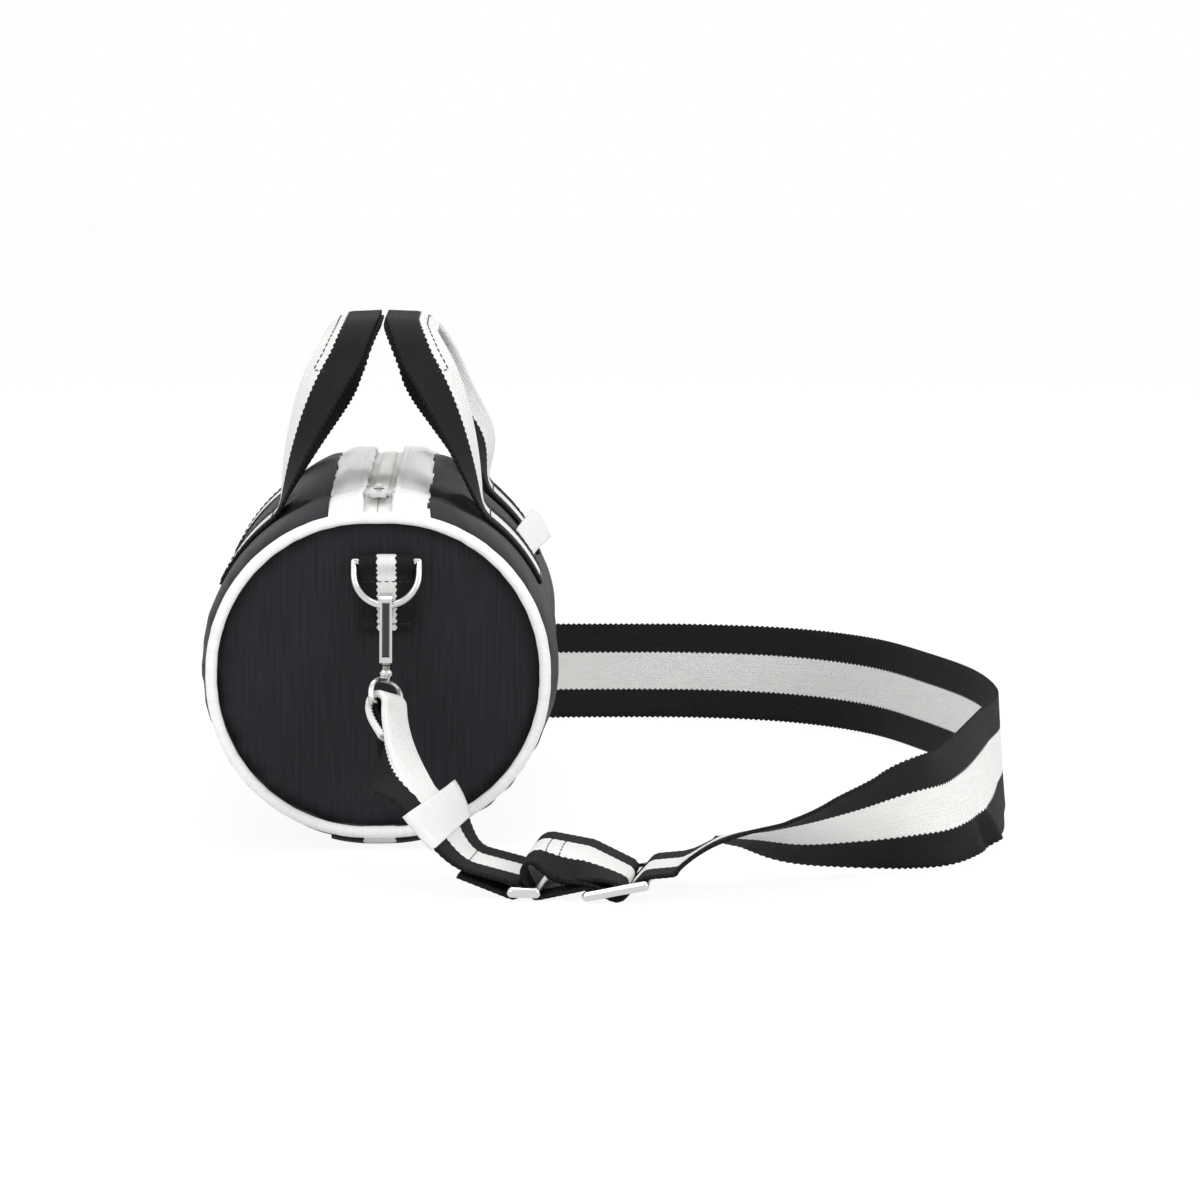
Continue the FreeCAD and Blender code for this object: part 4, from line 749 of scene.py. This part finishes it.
def evenly(path, step, *values):
    """A path and values along it, read again at even steps: points, lengths so far, values."""
    so_far = length_along(path)
    at = np.linspace(0, so_far[-1], max(2, round(so_far[-1] / step) + 1))

    def read(value):
        """One value or vector at the even steps, in proportion to its neighbours."""
        if value.ndim == 1:
            return np.interp(at, so_far, value)
        return np.stack([np.interp(at, so_far, column) for column in value.T], -1)
    return (read(path), at, *[read(value) for value in values])


def softened(values, reach):
    """Values along a path averaged over their neighbours with bell-shaped weights, the ends kept."""
    weights = bell(np.arange(-3 * reach, 3 * reach + 1), reach)
    before = 2 * values[:1] - values[3 * reach:0:-1]
    after = 2 * values[-1:] - values[-2:-3 * reach - 2:-1]
    padded = np.concatenate([before, values, after])
    return sum(w * padded[i:i + len(values)] for i, w in enumerate(weights / weights.sum()))


def across_profile(s, fold):
    """Where the points of a bent section lie, across and off its plane: from the middle outwards the
    section runs at the given slopes, one row of slopes for each station."""
    middle = len(s) // 2
    gap = np.diff(s)
    slope = (fold[:, 1:] + fold[:, :-1]) / 2
    start = np.zeros((len(fold), 1))
    beside = np.concatenate([start, np.cumsum(np.cos(slope) * gap, 1)], 1)
    off = np.concatenate([start, np.cumsum(np.sin(slope) * gap, 1)], 1)
    return beside - beside[:, middle:middle + 1], off - off[:, middle:middle + 1]


def squared(across, along):
    """Directions across a path, made square to it and of length one."""
    return unit(across - along * np.sum(across * along, -1, keepdims=True))


def webbing_grid(path, along, across, s, fold, so_far):
    """The grid of a strip of webbing through its stations, with its cloth coordinates; the weft's
    turns make its edges finely toothed."""
    across = squared(across, along)
    normal = np.cross(across, along)
    beside, off = across_profile(s, fold)
    points = path[:, None] + across[:, None] * beside[..., None] + normal[:, None] * off[..., None]
    tooth = (TOOTH * np.cos(2 * math.pi * so_far / PICOT))[:, None]
    for edge, inner in ((0, 1), (-1, -2)):
        points[:, edge] += unit(points[:, edge] - points[:, inner]) * tooth
    return points, grid_of(s, so_far[:, None])


def off_face(line, normals, way, length, gap, radius, cloth=WEBBING):
    """A row of stitches on one face of a sheet of the given thickness."""
    return stitch_row(line + unit(normals) * (way * cloth / 2), normals * way, length, gap, radius)


half_columns = np.array((0.3, 0.6, 0.9, 1.2, 1.5, 1.9, 2.6, *range(4, 24, 2), 23.5, WEBBING_HALF))
handle_columns = np.concatenate([-half_columns[::-1], [0], half_columns])
turn = np.linspace(SEWN_LOW, SEWN_TOP, SEWN_STEPS)
flat, radius, high, low = section_at(np.array(0.0))
lay = radius + SEAM_GAP + WEBBING / 2
sewn = grid_of(flat + lay * np.sin(turn), -LEG_Y, high + lay * np.cos(turn))
leg = bezier(FOOT, LEG_PULL, CREST, GRIP_PULL, LEG_STEPS)
grip = grid_of(CREST[0], np.linspace(CREST[1], 0, GRIP_STEPS + 1)[1:], CREST[2])
half_path = np.concatenate([sewn, leg[1:], grip])
closing = np.clip(np.linspace(0, 1, LEG_STEPS)[1:] / FOLD_SHARE, 0, 1) ** FOLD_POWER
shut = np.concatenate([np.zeros(SEWN_STEPS), closing, np.ones(GRIP_STEPS)])
radial = np.stack([np.sin(turn), 0 * turn, np.cos(turn)], -1)
outward = np.concatenate([radial, np.tile((1.0, 0, 0), (LEG_STEPS - 1 + GRIP_STEPS, 1))])
path = np.concatenate([half_path, half_path[-2::-1] * (1, -1, 1)])
path, so_far, shut, outward = evenly(path, STEP, np.concatenate([shut, shut[-2::-1]]),
                                     np.concatenate([outward, outward[-2::-1]]))
path = softened(path, PATH_SOFT)
outward = softened(outward, OUTWARD_SOFT)
shut = softened(shut, PATH_SOFT)[:, None]
along = unit(np.gradient(path, axis=0))
tilt = WHITE_TILT * (1 - fade(np.abs(handle_columns) - STRIPE + TILT_EDGE, TILT_FADE))
fold = -(np.clip(handle_columns / SPINE_RADIUS, -1, 1) * SHUT + tilt) * shut
beside = unit(np.cross(along, outward))
tucked = STRIPE * (beside * math.sin(WHITE_TILT) - outward * (1 - math.cos(WHITE_TILT))) * shut
handle, handle_uv = webbing_grid(path + tucked, along, beside, handle_columns, fold, so_far)
sway = SWAY * ripples(so_far[:, None] / SWAY_LENGTH, handle_columns / SWAY_LENGTH, seed=41) * shut
handle[..., 2] += sway * (np.abs(handle_columns) > SPINE_STIFF)
last_row = len(handle) - 1
sewn_rows = (SEWN_LOW - SEWN_TOP) * lay / STEP
box_end = sewn_rows - BOX_ENDS
box_corners = ((BOX_ENDS, -1), (BOX_ENDS, 1), (box_end, 1), (box_end, -1), (BOX_ENDS, -1))


def column_of(s):
    """The fractional column of the handle's grid at a distance from its middle line."""
    return np.interp(s, handle_columns, np.arange(len(handle_columns)))


for name, side in (("left", -1), ("right", 1)):
    points = handle * (side, 1, 1)
    if side > 0:
        # the far leg of this one bulges outwards
        points[..., 0] += FAR_LEG_BULGE * bell(so_far[-1] - so_far - BULGE_PLACE, BULGE_REACH)[:, None]
    piece = make_piece(f"{name}_handle_webbing", [grid_faces(points[:, ::-side], handle_uv[:, ::-side])],
                       striped_webbing, None,
                       [f"{name}_handle", f"{name}_handle_near_end", f"{name}_handle_far_end"],
                       thickness=WEBBING)
    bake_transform(piece)
    rows = []
    grip_rows = np.linspace(*GRIP_STITCHED, GRIP_POINTS) * len(handle)
    for s in (-STITCH_INSET, STITCH_INSET):
        rows.append(grid_line(points, grip_rows, np.full(GRIP_POINTS, column_of(s))))
        for row in (grip_rows[0], grip_rows[-1]):
            columns = column_of(np.linspace(s, STITCH_TO * s, TURN_POINTS))
            rows.append(grid_line(points, np.full(TURN_POINTS, row), columns))
    for from_row, way in ((0, 1), (last_row, -1)):
        for (row_a, side_a), (row_b, side_b) in zip(box_corners, box_corners[1:]):
            columns = column_of(np.linspace(side_a, side_b, BOX_POINTS) * BOX_HALF)
            rows.append(grid_line(points, from_row + way * np.linspace(row_a, row_b, BOX_POINTS), columns))
    stitches = [off_face(line, normals, side, *HANDLE_STITCH) for line, normals in rows]
    thread = make_piece(f"{name}_handle_stitching", stitches, black_thread, None)
    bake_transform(thread)

# The side label: a small blank cloth label caught in the seam along its near edge, the free edge standing
# off the barrel.
LABEL_TOP, LABEL_LOW = math.radians(50), math.radians(60.5)
LABEL_HALF, LABEL_LENGTH, LABEL_CLOTH = 15, 14, 0.6
LABEL_LIFT, LABEL_POWER, LABEL_OFF = 10, 1.3, 0.9
LABEL_CURL, LABEL_CURL_LENGTH = 0.12, 30
LABEL_ROWS, LABEL_COLUMNS = 17, 33

label_cloth = cloth_material("label_cloth", (0.76, 0.76, 0.75), (0.84, 0.84, 0.83), 0.4, 0.55, 0.05, 0.2)
share = np.linspace(0, 1, LABEL_ROWS)[:, None]
y = np.linspace(LABEL_HALF, -LABEL_HALF, LABEL_COLUMNS)
turn = LABEL_TOP + (LABEL_LOW - LABEL_TOP) * share
curl = 1 + LABEL_CURL * ripples(y / LABEL_CURL_LENGTH, share / 2, seed=43)
lifted = LABEL_LIFT * (0.5 + y / (2 * LABEL_HALF)) ** LABEL_POWER * curl
lay = radius + SEAM_GAP + LABEL_OFF + lifted
points = grid_of(flat + lay * np.sin(turn), y, high + lay * np.cos(turn))
label = make_piece("side_label_cloth", [grid_faces(points, grid_of(y, share * LABEL_LENGTH))], label_cloth,
                   "bag", ["side_label"], thickness=LABEL_CLOTH)

# The ring tabs: at each end a length of narrow striped webbing, doubled round the D-ring's bar and sewn
# on the end panel with two rows of black stitching.
TAB_HALF, TAB_STRIPE, TAB_CLOTH = 12, 4.3, 1.4
BAR = np.array((4, -125.95, 131))
TAB_LENGTH = 31
TAB_LOOP, TAB_LOOP_TURN = 2.65, math.radians(232)
BACK_LAYER, FRONT_LAYER = 2.6, 1.15
# depth and height of the front layer's points below the loop
FRONT_POINTS = ((FRONT_LAYER - 0.4, -5.5), (FRONT_LAYER, -9), (FRONT_LAYER, -TAB_LENGTH))
TAB_STEP, TAB_LOOP_STEPS, TAB_COLUMNS, TAB_SOFT = 0.5, 40, 25, 2
TAB_STITCH, TAB_STITCHED, TAB_STITCH_POINTS = (2.2, 0.8, 0.25), (3.0, 22.0), 40


def at_end(points, end):
    """A piece of the near end, or the same piece turned half round the upright for the far end."""
    return points if end == "near" else points * (-1, -1, 1)


tab_webbing = webbing_material("tab_webbing", TAB_STRIPE)
turn = np.linspace(0, TAB_LOOP_TURN, TAB_LOOP_STEPS)
loop = TAB_LOOP * np.stack([np.cos(turn), np.sin(turn)], -1)
profile = np.concatenate([[(BACK_LAYER, -TAB_LENGTH)], loop, FRONT_POINTS])
path, so_far = evenly(np.insert(profile, 0, 0, 1), TAB_STEP)
path = softened(path, TAB_SOFT)
along = unit(np.gradient(path, axis=0))
tab_columns = np.linspace(-TAB_HALF, TAB_HALF, TAB_COLUMNS)
tab, tab_uv = webbing_grid(path + BAR, along, np.tile((1.0, 0, 0), (len(path), 1)), tab_columns,
                           np.zeros((len(path), TAB_COLUMNS)), so_far)
for end in ("near", "far"):
    points = at_end(tab, end)
    webbing = make_piece(f"{end}_tab_webbing", [grid_faces(points, tab_uv)], tab_webbing, "bag",
                         [f"{end}_d_ring_tab"], thickness=TAB_CLOTH)
    stitches = []
    for from_end in TAB_STITCHED:
        row = np.full(TAB_STITCH_POINTS, len(tab) - 1 - from_end / TAB_STEP)
        line, normals = grid_line(points, row, np.linspace(1, TAB_COLUMNS - 2, TAB_STITCH_POINTS))
        stitches.append(off_face(line, normals, -1, *TAB_STITCH, cloth=TAB_CLOTH))
    make_piece(f"{end}_tab_stitching", stitches, black_thread, "bag")

# The D-ring turns in the tab; on it hangs a snap hook with a sprung gate, and in the hook's base turns
# a swivel eye. All are nickel-plated; the pins and springs are bare steel. Down the middle of the hook's
# broad face, between its bright edges, a thin dark strip is laid on as painted shade.
HOOK_PLACE = np.array((4, -142.093, 86.646))
HOOK_LEAN = math.radians(20)
HOOK_UP = np.array((0, math.sin(HOOK_LEAN), math.cos(HOOK_LEAN)))
HOOK_BACK = np.array((0, math.cos(HOOK_LEAN), -math.sin(HOOK_LEAN)))
# size and place of the thin strip of painted shade laid on the hook's face
HOOK_FACE, SHADE_STRIP_OFF, SHADE_STRIP_THICK = 6.8, 0.04, 0.06
SHADE_STRIP_HALF, SHADE_STRIP_LOW, SHADE_STRIP_HIGH = 1.7, 2.5, 27
SHADE_STRIP_ROWS, SHADE_STRIP_COLUMNS = 25, 7

for end in ("near", "far"):
    plate(nickel, f"{end}_d_ring", f"{end}_hook", f"{end}_hook_gate")
    plate(steel, f"{end}_gate_pin", f"{end}_gate_spring")
# painted shade: a black material for the strip laid on the middle of the hook's face, where that face lies in
# shadow
painted_shade_black = new_material("painted_shade_black", 0.25, Base_Color=(0.012, 0.012, 0.013, 1))[0]
x = np.linspace(-SHADE_STRIP_HALF, SHADE_STRIP_HALF, SHADE_STRIP_COLUMNS)[None, :, None]
z = np.linspace(SHADE_STRIP_LOW, SHADE_STRIP_HIGH, SHADE_STRIP_ROWS)[:, None, None]
shade_strip = HOOK_PLACE + np.array((1.0, 0, 0)) * x + HOOK_UP * z - HOOK_BACK * (HOOK_FACE + SHADE_STRIP_OFF)
# the strip of painted shade, carried by each hook
for end in ("near", "far"):
    make_piece(f"{end}_hook_shade_strip", [grid_faces(at_end(shade_strip, end))], painted_shade_black, f"{end}_hook",
               thickness=SHADE_STRIP_THICK, offset=1)

# The swivel eye: a loop of round wire, flat below where the strap lies and arched above, with a collar
# and a headed stud that turns in the hook's base.
EYE_TURN = {"near": math.radians(58), "far": math.radians(-32)}
EYE_BAR = np.array((4, -148.15, 70.01))
EYE_HALF, EYE_HEIGHT, EYE_MIDDLE, EYE_WIRE = 11.9, 11.2, 3.5, 1.35
EYE_ARCH, EYE_FLAT = 2.5, 6
EYE_TURN_STEPS, EYE_STEP, EYE_SIDES, POLE_MERGE = 721, 0.75, 16, 0.01
# radius and height above the loop's top
STUD_PROFILE = np.array((
    (0, -0.8), (1.6, -0.8), (1.9, 1.2), (2.9, 1.9), (3.3, 3.2), (2.9, 4.5), (2, 5.2), (2, 12.8), (2.6, 12.8),
    (2.8, 13.1), (2.8, 13.9), (2.5, 14.2), (0, 14.2),
))


def eye_axes(end):
    """The swivel eye's own directions: along its bar, out of its loop, and up the hook."""
    yaw, half_turn = EYE_TURN[end], (1 if end == "near" else -1)
    up = np.array((0, half_turn * math.sin(HOOK_LEAN), math.cos(HOOK_LEAN)))
    level = np.array((half_turn * math.cos(yaw), half_turn * math.sin(yaw) * math.cos(HOOK_LEAN),
                      -math.sin(yaw) * math.sin(HOOK_LEAN)))
    return level, np.cross(up, level), up


def loop_line(turn):
    """An oval whose upper half is a rounder and whose lower half a squarer superellipse."""
    power = np.where(np.sin(turn) > 0, 2 / EYE_ARCH, 2 / EYE_FLAT)
    height = np.where(np.sin(turn) > 0, EYE_HEIGHT - EYE_MIDDLE, EYE_MIDDLE)
    side = EYE_HALF * np.sign(np.cos(turn)) * np.abs(np.cos(turn)) ** power
    return np.stack([side, EYE_MIDDLE + height * np.sign(np.sin(turn)) * np.abs(np.sin(turn)) ** power], -1)


def close_poles(piece):
    """Corners that lie on one another become one, and the faces are turned outwards again."""
    shape = bmesh.new()
    shape.from_mesh(piece.data)
    bmesh.ops.remove_doubles(shape, verts=shape.verts, dist=POLE_MERGE * MM)
    bmesh.ops.recalc_face_normals(shape, faces=shape.faces)
    shape.to_mesh(piece.data)
    shape.free()


line = evenly(loop_line(np.linspace(0, 2 * math.pi, EYE_TURN_STEPS)), EYE_STEP)[0][:-1]
ahead = unit(np.roll(line, -1, 0) - np.roll(line, 1, 0))
around = np.linspace(0, 2 * math.pi, EYE_SIDES, endpoint=False)
wire_out, wire_off = EYE_WIRE * np.cos(around), EYE_WIRE * np.sin(around)
stud_radius, stud_height = STUD_PROFILE[:, :1], EYE_HEIGHT + STUD_PROFILE[:, 1:]
# along the bar, out of the loop and up the hook
loop_places = grid_of(line[:, :1] + ahead[:, 1:] * wire_out, wire_off, line[:, 1:] - ahead[:, :1] * wire_out)
stud_places = grid_of(stud_radius * np.cos(around), stud_radius * np.sin(around), stud_height)
for end in ("near", "far"):
    axes = np.stack(eye_axes(end))
    loop, stud = (at_end(EYE_BAR, end) + places @ axes for places in (loop_places, stud_places))
    eye = make_piece(f"{end}_eye", [grid_faces(loop, ring=True, loop=True), grid_faces(stud, ring=True)],
                     nickel, f"{end}_clip", [f"{end}_swivel_eye"])
    close_poles(eye)

# The short strap: webbing folded in three over the near eye and sewn to itself; below the eye it opens
# to its full width, goes round the first bar of the strap ring and back under itself.
THIRD = 7
FLAP_RADII = (0.85, 1.7)
EYE_REACH, EYE_ARC_STEPS = 5.2, 25
TAIL, TAIL_GAP, TAIL_STEP = 24, 5.3, 1.0
RING_LEAD = 47
STRAP_ORIGIN = EYE_BAR * (1, 1, 0) - (0, RING_LEAD, 0)
HEADING = math.radians(-9)
FORWARD = np.array((math.cos(HEADING), math.sin(HEADING), 0))
SIDEWAYS = np.array((-math.sin(HEADING), math.cos(HEADING), 0))
UP = np.array((0, 0, 1.0))
BELT_STEP = math.radians(6)
# place along the strap, height, radius and way round of the ring's bar and of the runs to and from it
RING_CIRCLES = ((42, 11.6, 0, 1), (60, 4.05, 3.1, -1), (36, 9.65, 0, 1))
KNEE_PLACE, KNEE_HEIGHT, KNEE_SLOPE = 20, 38, math.radians(-52)
KNEE_ACROSS = np.array((0.32, 0.93, 0.17))
EYE_PULL, KNEE_PULL, RING_PULL = 14, 14, 10
OPEN_FROM, OPEN_TO = 0.15, 0.95
RUN_STEPS, STRAP_SOFT = 50, 2


def eye_arc(end):
    """The folded strap over an eye's bar, a half circle from the back to the front."""
    level, out, up = eye_axes(end)
    turn = np.linspace(math.pi, 0, EYE_ARC_STEPS)[:, None]
    return at_end(EYE_BAR, end) + EYE_REACH * (up * np.sin(turn) - out * np.cos(turn))


def sewn_tail(run, out):
    """The strap's end, up to the eye: laid against the back of the run that leaves it, and drawn in from
    the width of the bar until the two touch."""
    points, so_far = evenly(run, TAIL_STEP)
    share = fade(so_far[so_far <= TAIL], TAIL)[:, None]
    return (points[:len(share)] + out * (2 * EYE_REACH * (1 - share) + TAIL_GAP * share))[::-1]


def belt(circles):
    """A belt over and under round bars, in its upright plane: each circle is a place, a height, a
    radius and the way the belt goes round it."""
    headings = []
    for (s1, z1, r1, way1), (s2, z2, r2, way2) in zip(circles, circles[1:]):
        bearing = math.atan2(z2 - z1, s2 - s1)
        headings.append(bearing - math.asin((way2 * r2 - way1 * r1) / math.hypot(s2 - s1, z2 - z1)))
    points = [circles[0][:2]]
    for (s, z, r, way), before, after in zip(circles[1:-1], headings, headings[1:]):
        sweep = (after - before) * way % (2 * math.pi)
        turned = before + way * np.linspace(0, sweep, max(2, math.ceil(sweep / BELT_STEP)))
        points += [(s + way * r * math.sin(a), z - way * r * math.cos(a)) for a in turned]
    points = np.array(points + [circles[-1][:2]])
    return STRAP_ORIGIN + FORWARD * points[:, :1] + UP * points[:, 1:]


strap_half = np.array((3.5, 6.6, 7.2, 7.8, 8.4, 9, 9.7, 10.5, 11.4, 12.6, 15, 18, 21.5, WEBBING_HALF))
strap_columns = np.concatenate([-strap_half[::-1], [0], strap_half])


def thirds(shut):
    """Slopes of a section folded in three, shut by a share of a half turn on each side."""
    slopes = np.zeros((len(shut), len(strap_columns)))
    for sign, flap in zip((-1, 1), FLAP_RADII):
        bent = np.clip((strap_columns * sign - THIRD) / flap, 0, math.pi)
        slopes += sign * np.minimum(bent, (math.pi * shut)[:, None])
    return slopes


def repeated(direction, points):
    """One direction for each of a run of points."""
    return np.tile(direction, (len(points), 1))


def turning(first, last, count):
    """Directions that turn smoothly from one to another."""
    ease = fade(np.linspace(0, 1, count), 1)[:, None]
    return first * (1 - ease) + last * ease


arc, ring_turn = eye_arc("near"), belt(RING_CIRCLES)
level, out, up = eye_axes("near")
knee = STRAP_ORIGIN + FORWARD * KNEE_PLACE + UP * KNEE_HEIGHT
fall = FORWARD * math.cos(KNEE_SLOPE) + UP * math.sin(KNEE_SLOPE)
to_ring = unit(ring_turn[1] - ring_turn[0])
folded_run = bezier(arc[-1], -up * EYE_PULL, knee, fall * KNEE_PULL, RUN_STEPS)
open_run = bezier(knee, fall * KNEE_PULL, ring_turn[0], to_ring * RING_PULL, RUN_STEPS)[1:-1]
wrap = np.concatenate([sewn_tail(folded_run, out)[:-1], arc])
path = np.concatenate([wrap, folded_run[1:], open_run, ring_turn])
across = np.concatenate([repeated(level, wrap), turning(level, KNEE_ACROSS, RUN_STEPS)[1:],
                         turning(KNEE_ACROSS, SIDEWAYS, RUN_STEPS)[1:-1], repeated(SIDEWAYS, ring_turn)])
opening = 1 - np.clip((np.linspace(0, 1, RUN_STEPS) - OPEN_FROM) / (OPEN_TO - OPEN_FROM), 0, 1)
shut = np.concatenate([np.ones(len(wrap)), opening[1:], np.zeros(len(open_run) + len(ring_turn))])
short_path, short_so_far, short_across, short_shut = evenly(path, STEP, across, shut)
short_path = softened(short_path, STRAP_SOFT)
short_along = unit(np.gradient(short_path, axis=0))
short_strap, short_uv = webbing_grid(short_path, short_along, short_across, strap_columns, thirds(short_shut),
                                     short_so_far)
piece = make_piece("short_strap_webbing", [grid_faces(short_strap, short_uv)], striped_webbing, None,
                   ["short_strap"], thickness=WEBBING)
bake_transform(piece)

# The ring and the three-bar slide: bent from wire and nickel-plated. The webbing goes round the bars of
# both, and the slide sets the strap's length.
plate(nickel, "strap_ring", "strap_adjuster")

# The long strap: its end is sewn round the slide's middle bar; it goes back to the ring in a low arch,
# out through the slide again and away, turning on edge, in a wide loop along the floor to the far eye.
SLIDE_CIRCLES = (
    (79.546, 9.4, 0, 1), (91.773, 3.001, 4.65, -1), (104, 5.6, 2.9, 1), (86, 9.6, 7, 1), (69.8, 12.5, 6.8, 1),
    (70, 4.05, 3.1, 1), (91.773, 3.001, 2.9, -1), (104, 5.6, 4.65, 1), (116.227, 8.199, 2.9, -1),
    (128.454, 12.55, 0, 1),
)
# x, y, height and roll: lying flat is 0, standing on edge 90
ROUTE = np.array((
    (149, -217, 24, 12), (167, -210, 24.5, 22), (188, -199.5, 23.3, 42), (212, -187.5, 24.5, 61),
    (234, -178, 26.8, 85), (250, -164, 27, 104), (262, -142, 28.5, 114), (271, -112, 29, 112),
    (281, -64, 28, 103), (292, -4, 26, 93), (288, 62, 25.8, 90), (270, 122, 25.8, 90), (246, 174, 25.8, 90),
    (208, 209, 25.8, 90), (160, 225, 25.8, 90), (108, 228, 25.8, 90), (72, 226, 26, 88),
))
ROUTE_STEPS, RISE_STEPS = 16, 80
FLOOR_PULL, RISE_PULL = 44, 40
OPENING = 2.2
DROOP, DROOP_PLACE, DROOP_REACH = math.radians(30), 58, 14
BUCKLE, BUCKLE_PLACE, BUCKLE_REACH, BUCKLE_WAVE = 3.2, 326, 11, 4.5
BUCKLE_FROM, BUCKLE_FADE = 4, 14

slide = belt(SLIDE_CIRCLES)
knots = np.concatenate([[[*slide[-1], 0]], ROUTE])
tangent = (np.concatenate([knots[1:], knots[-1:]]) - np.concatenate([knots[:1], knots[:-1]])) / 2
t = np.linspace(0, 1, ROUTE_STEPS, endpoint=False)[None, :, None]
first, last = knots[:-1, None], knots[1:, None]
leave, arrive = tangent[:-1, None], tangent[1:, None]
route = (first * (2 * t ** 3 - 3 * t ** 2 + 1) + leave * (t ** 3 - 2 * t ** 2 + t)
         + last * (3 * t ** 2 - 2 * t ** 3) + arrive * (t ** 3 - t ** 2)).reshape(-1, 4)
route = np.concatenate([route, knots[-1:]])
heading = unit(np.gradient(route[:, :3], axis=0))
roll = np.radians(route[:, 3:])
beside = unit(np.stack([-heading[:, 1], heading[:, 0], 0 * heading[:, 0]], -1))
route_across = beside * np.cos(roll) - UP * np.sin(roll)
level, out, up = eye_axes("far")
arc = eye_arc("far")[::-1]
rise = bezier(route[-1, :3], heading[-1] * FLOOR_PULL, arc[0], up * RISE_PULL, RISE_STEPS)
wrap = np.concatenate([arc, sewn_tail(rise[::-1], out)[-2::-1]])
path = np.concatenate([slide, route[1:, :3], rise[1:-1], wrap])
across = np.concatenate([repeated(SIDEWAYS, slide), route_across[1:],
                         turning(route_across[-1], -level, RISE_STEPS)[1:-1], repeated(-level, wrap)])
closing = np.clip(1 - OPENING * np.linspace(1, 0, RISE_STEPS), 0, 1)[1:-1]
shut = np.concatenate([np.zeros(len(slide) + len(route) - 1), closing, np.ones(len(wrap))])
long_path, long_so_far, long_across, long_shut = evenly(path, STEP, across, shut)
long_path = softened(long_path, STRAP_SOFT)
long_along = unit(np.gradient(long_path, axis=0))
droop = DROOP * bell(long_so_far - DROOP_PLACE, DROOP_REACH)[:, None] * np.clip(-strap_columns / STRIPE, 0, 1)
long_strap, long_uv = webbing_grid(long_path, long_along, long_across, strap_columns,
                                   thirds(long_shut) + droop, long_so_far)
# at the near turn the lower edge buckles
at_turn = (long_so_far - BUCKLE_PLACE)[:, None]
buckle = BUCKLE * np.sin(at_turn / BUCKLE_WAVE) * bell(at_turn, BUCKLE_REACH)
buckle = buckle * np.clip((strap_columns - BUCKLE_FROM) / BUCKLE_FADE, 0, 1)
long_strap = long_strap + np.cross(long_across, long_along)[:, None] * buckle[..., None]
piece = make_piece("long_strap_webbing", [grid_faces(long_strap, long_uv)], striped_webbing, None,
                   ["long_strap"], thickness=WEBBING)
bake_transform(piece)

# The strap label: a blank sleeve of white cloth, drawn over the short strap above the ring and pressed
# flat round it.
SLEEVE_START, SLEEVE_END = 104, 122
SLEEVE_HALF, SLEEVE_THICK, SLEEVE_COLUMNS = 26, 1.4, 15

rows = np.flatnonzero((short_so_far > SLEEVE_START) & (short_so_far < SLEEVE_END))
across = squared(short_across[rows], short_along[rows])
normal = np.cross(across, short_along[rows])
beside = np.linspace(-SLEEVE_HALF, SLEEVE_HALF, SLEEVE_COLUMNS)
beside = np.concatenate([beside, beside[::-1]])[:, None]
off = np.repeat((SLEEVE_THICK, -SLEEVE_THICK), SLEEVE_COLUMNS)[:, None]
around = short_path[rows][:, None] + across[:, None] * beside + normal[:, None] * off
girth = 4 * (SLEEVE_HALF + SLEEVE_THICK)
sleeve_uv = grid_of(np.linspace(0, girth, 2 * SLEEVE_COLUMNS + 1), short_so_far[rows][:, None])
sleeve = make_piece("strap_label_cloth", [grid_faces(around, sleeve_uv, ring=True)], label_cloth, None,
                    ["strap_label"], thickness=LABEL_CLOTH)
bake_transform(sleeve)

# The straps' stitching: rows of black thread across the white stripe, before the ring and twice on the
# low arch, through both layers and so seen on both faces.
STITCH_SHORT, STITCH_LONG = (136,), (63, 69)
STRAP_STITCH, STRAP_STITCH_POINTS = (2.4, 0.6, 0.3), 40
STITCH_HALF = 10


def stitched_across(grid, so_far, places):
    """Rows of stitches across a strap on both its faces at given lengths along it."""
    s = np.linspace(-STITCH_HALF, STITCH_HALF, STRAP_STITCH_POINTS)
    columns = np.interp(s, strap_columns, np.arange(len(strap_columns)))
    rows = []
    for place in places:
        row = np.full(STRAP_STITCH_POINTS, np.interp(place, so_far, np.arange(len(so_far))))
        line, normals = grid_line(grid, row, columns)
        rows += [off_face(line, normals, face, *STRAP_STITCH) for face in (1, -1)]
    return rows


thread = make_piece("short_strap_stitching", stitched_across(short_strap, short_so_far, STITCH_SHORT),
                    black_thread, None)
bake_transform(thread)
make_piece("long_strap_stitching", stitched_across(long_strap, long_so_far, STITCH_LONG), black_thread, "bag")
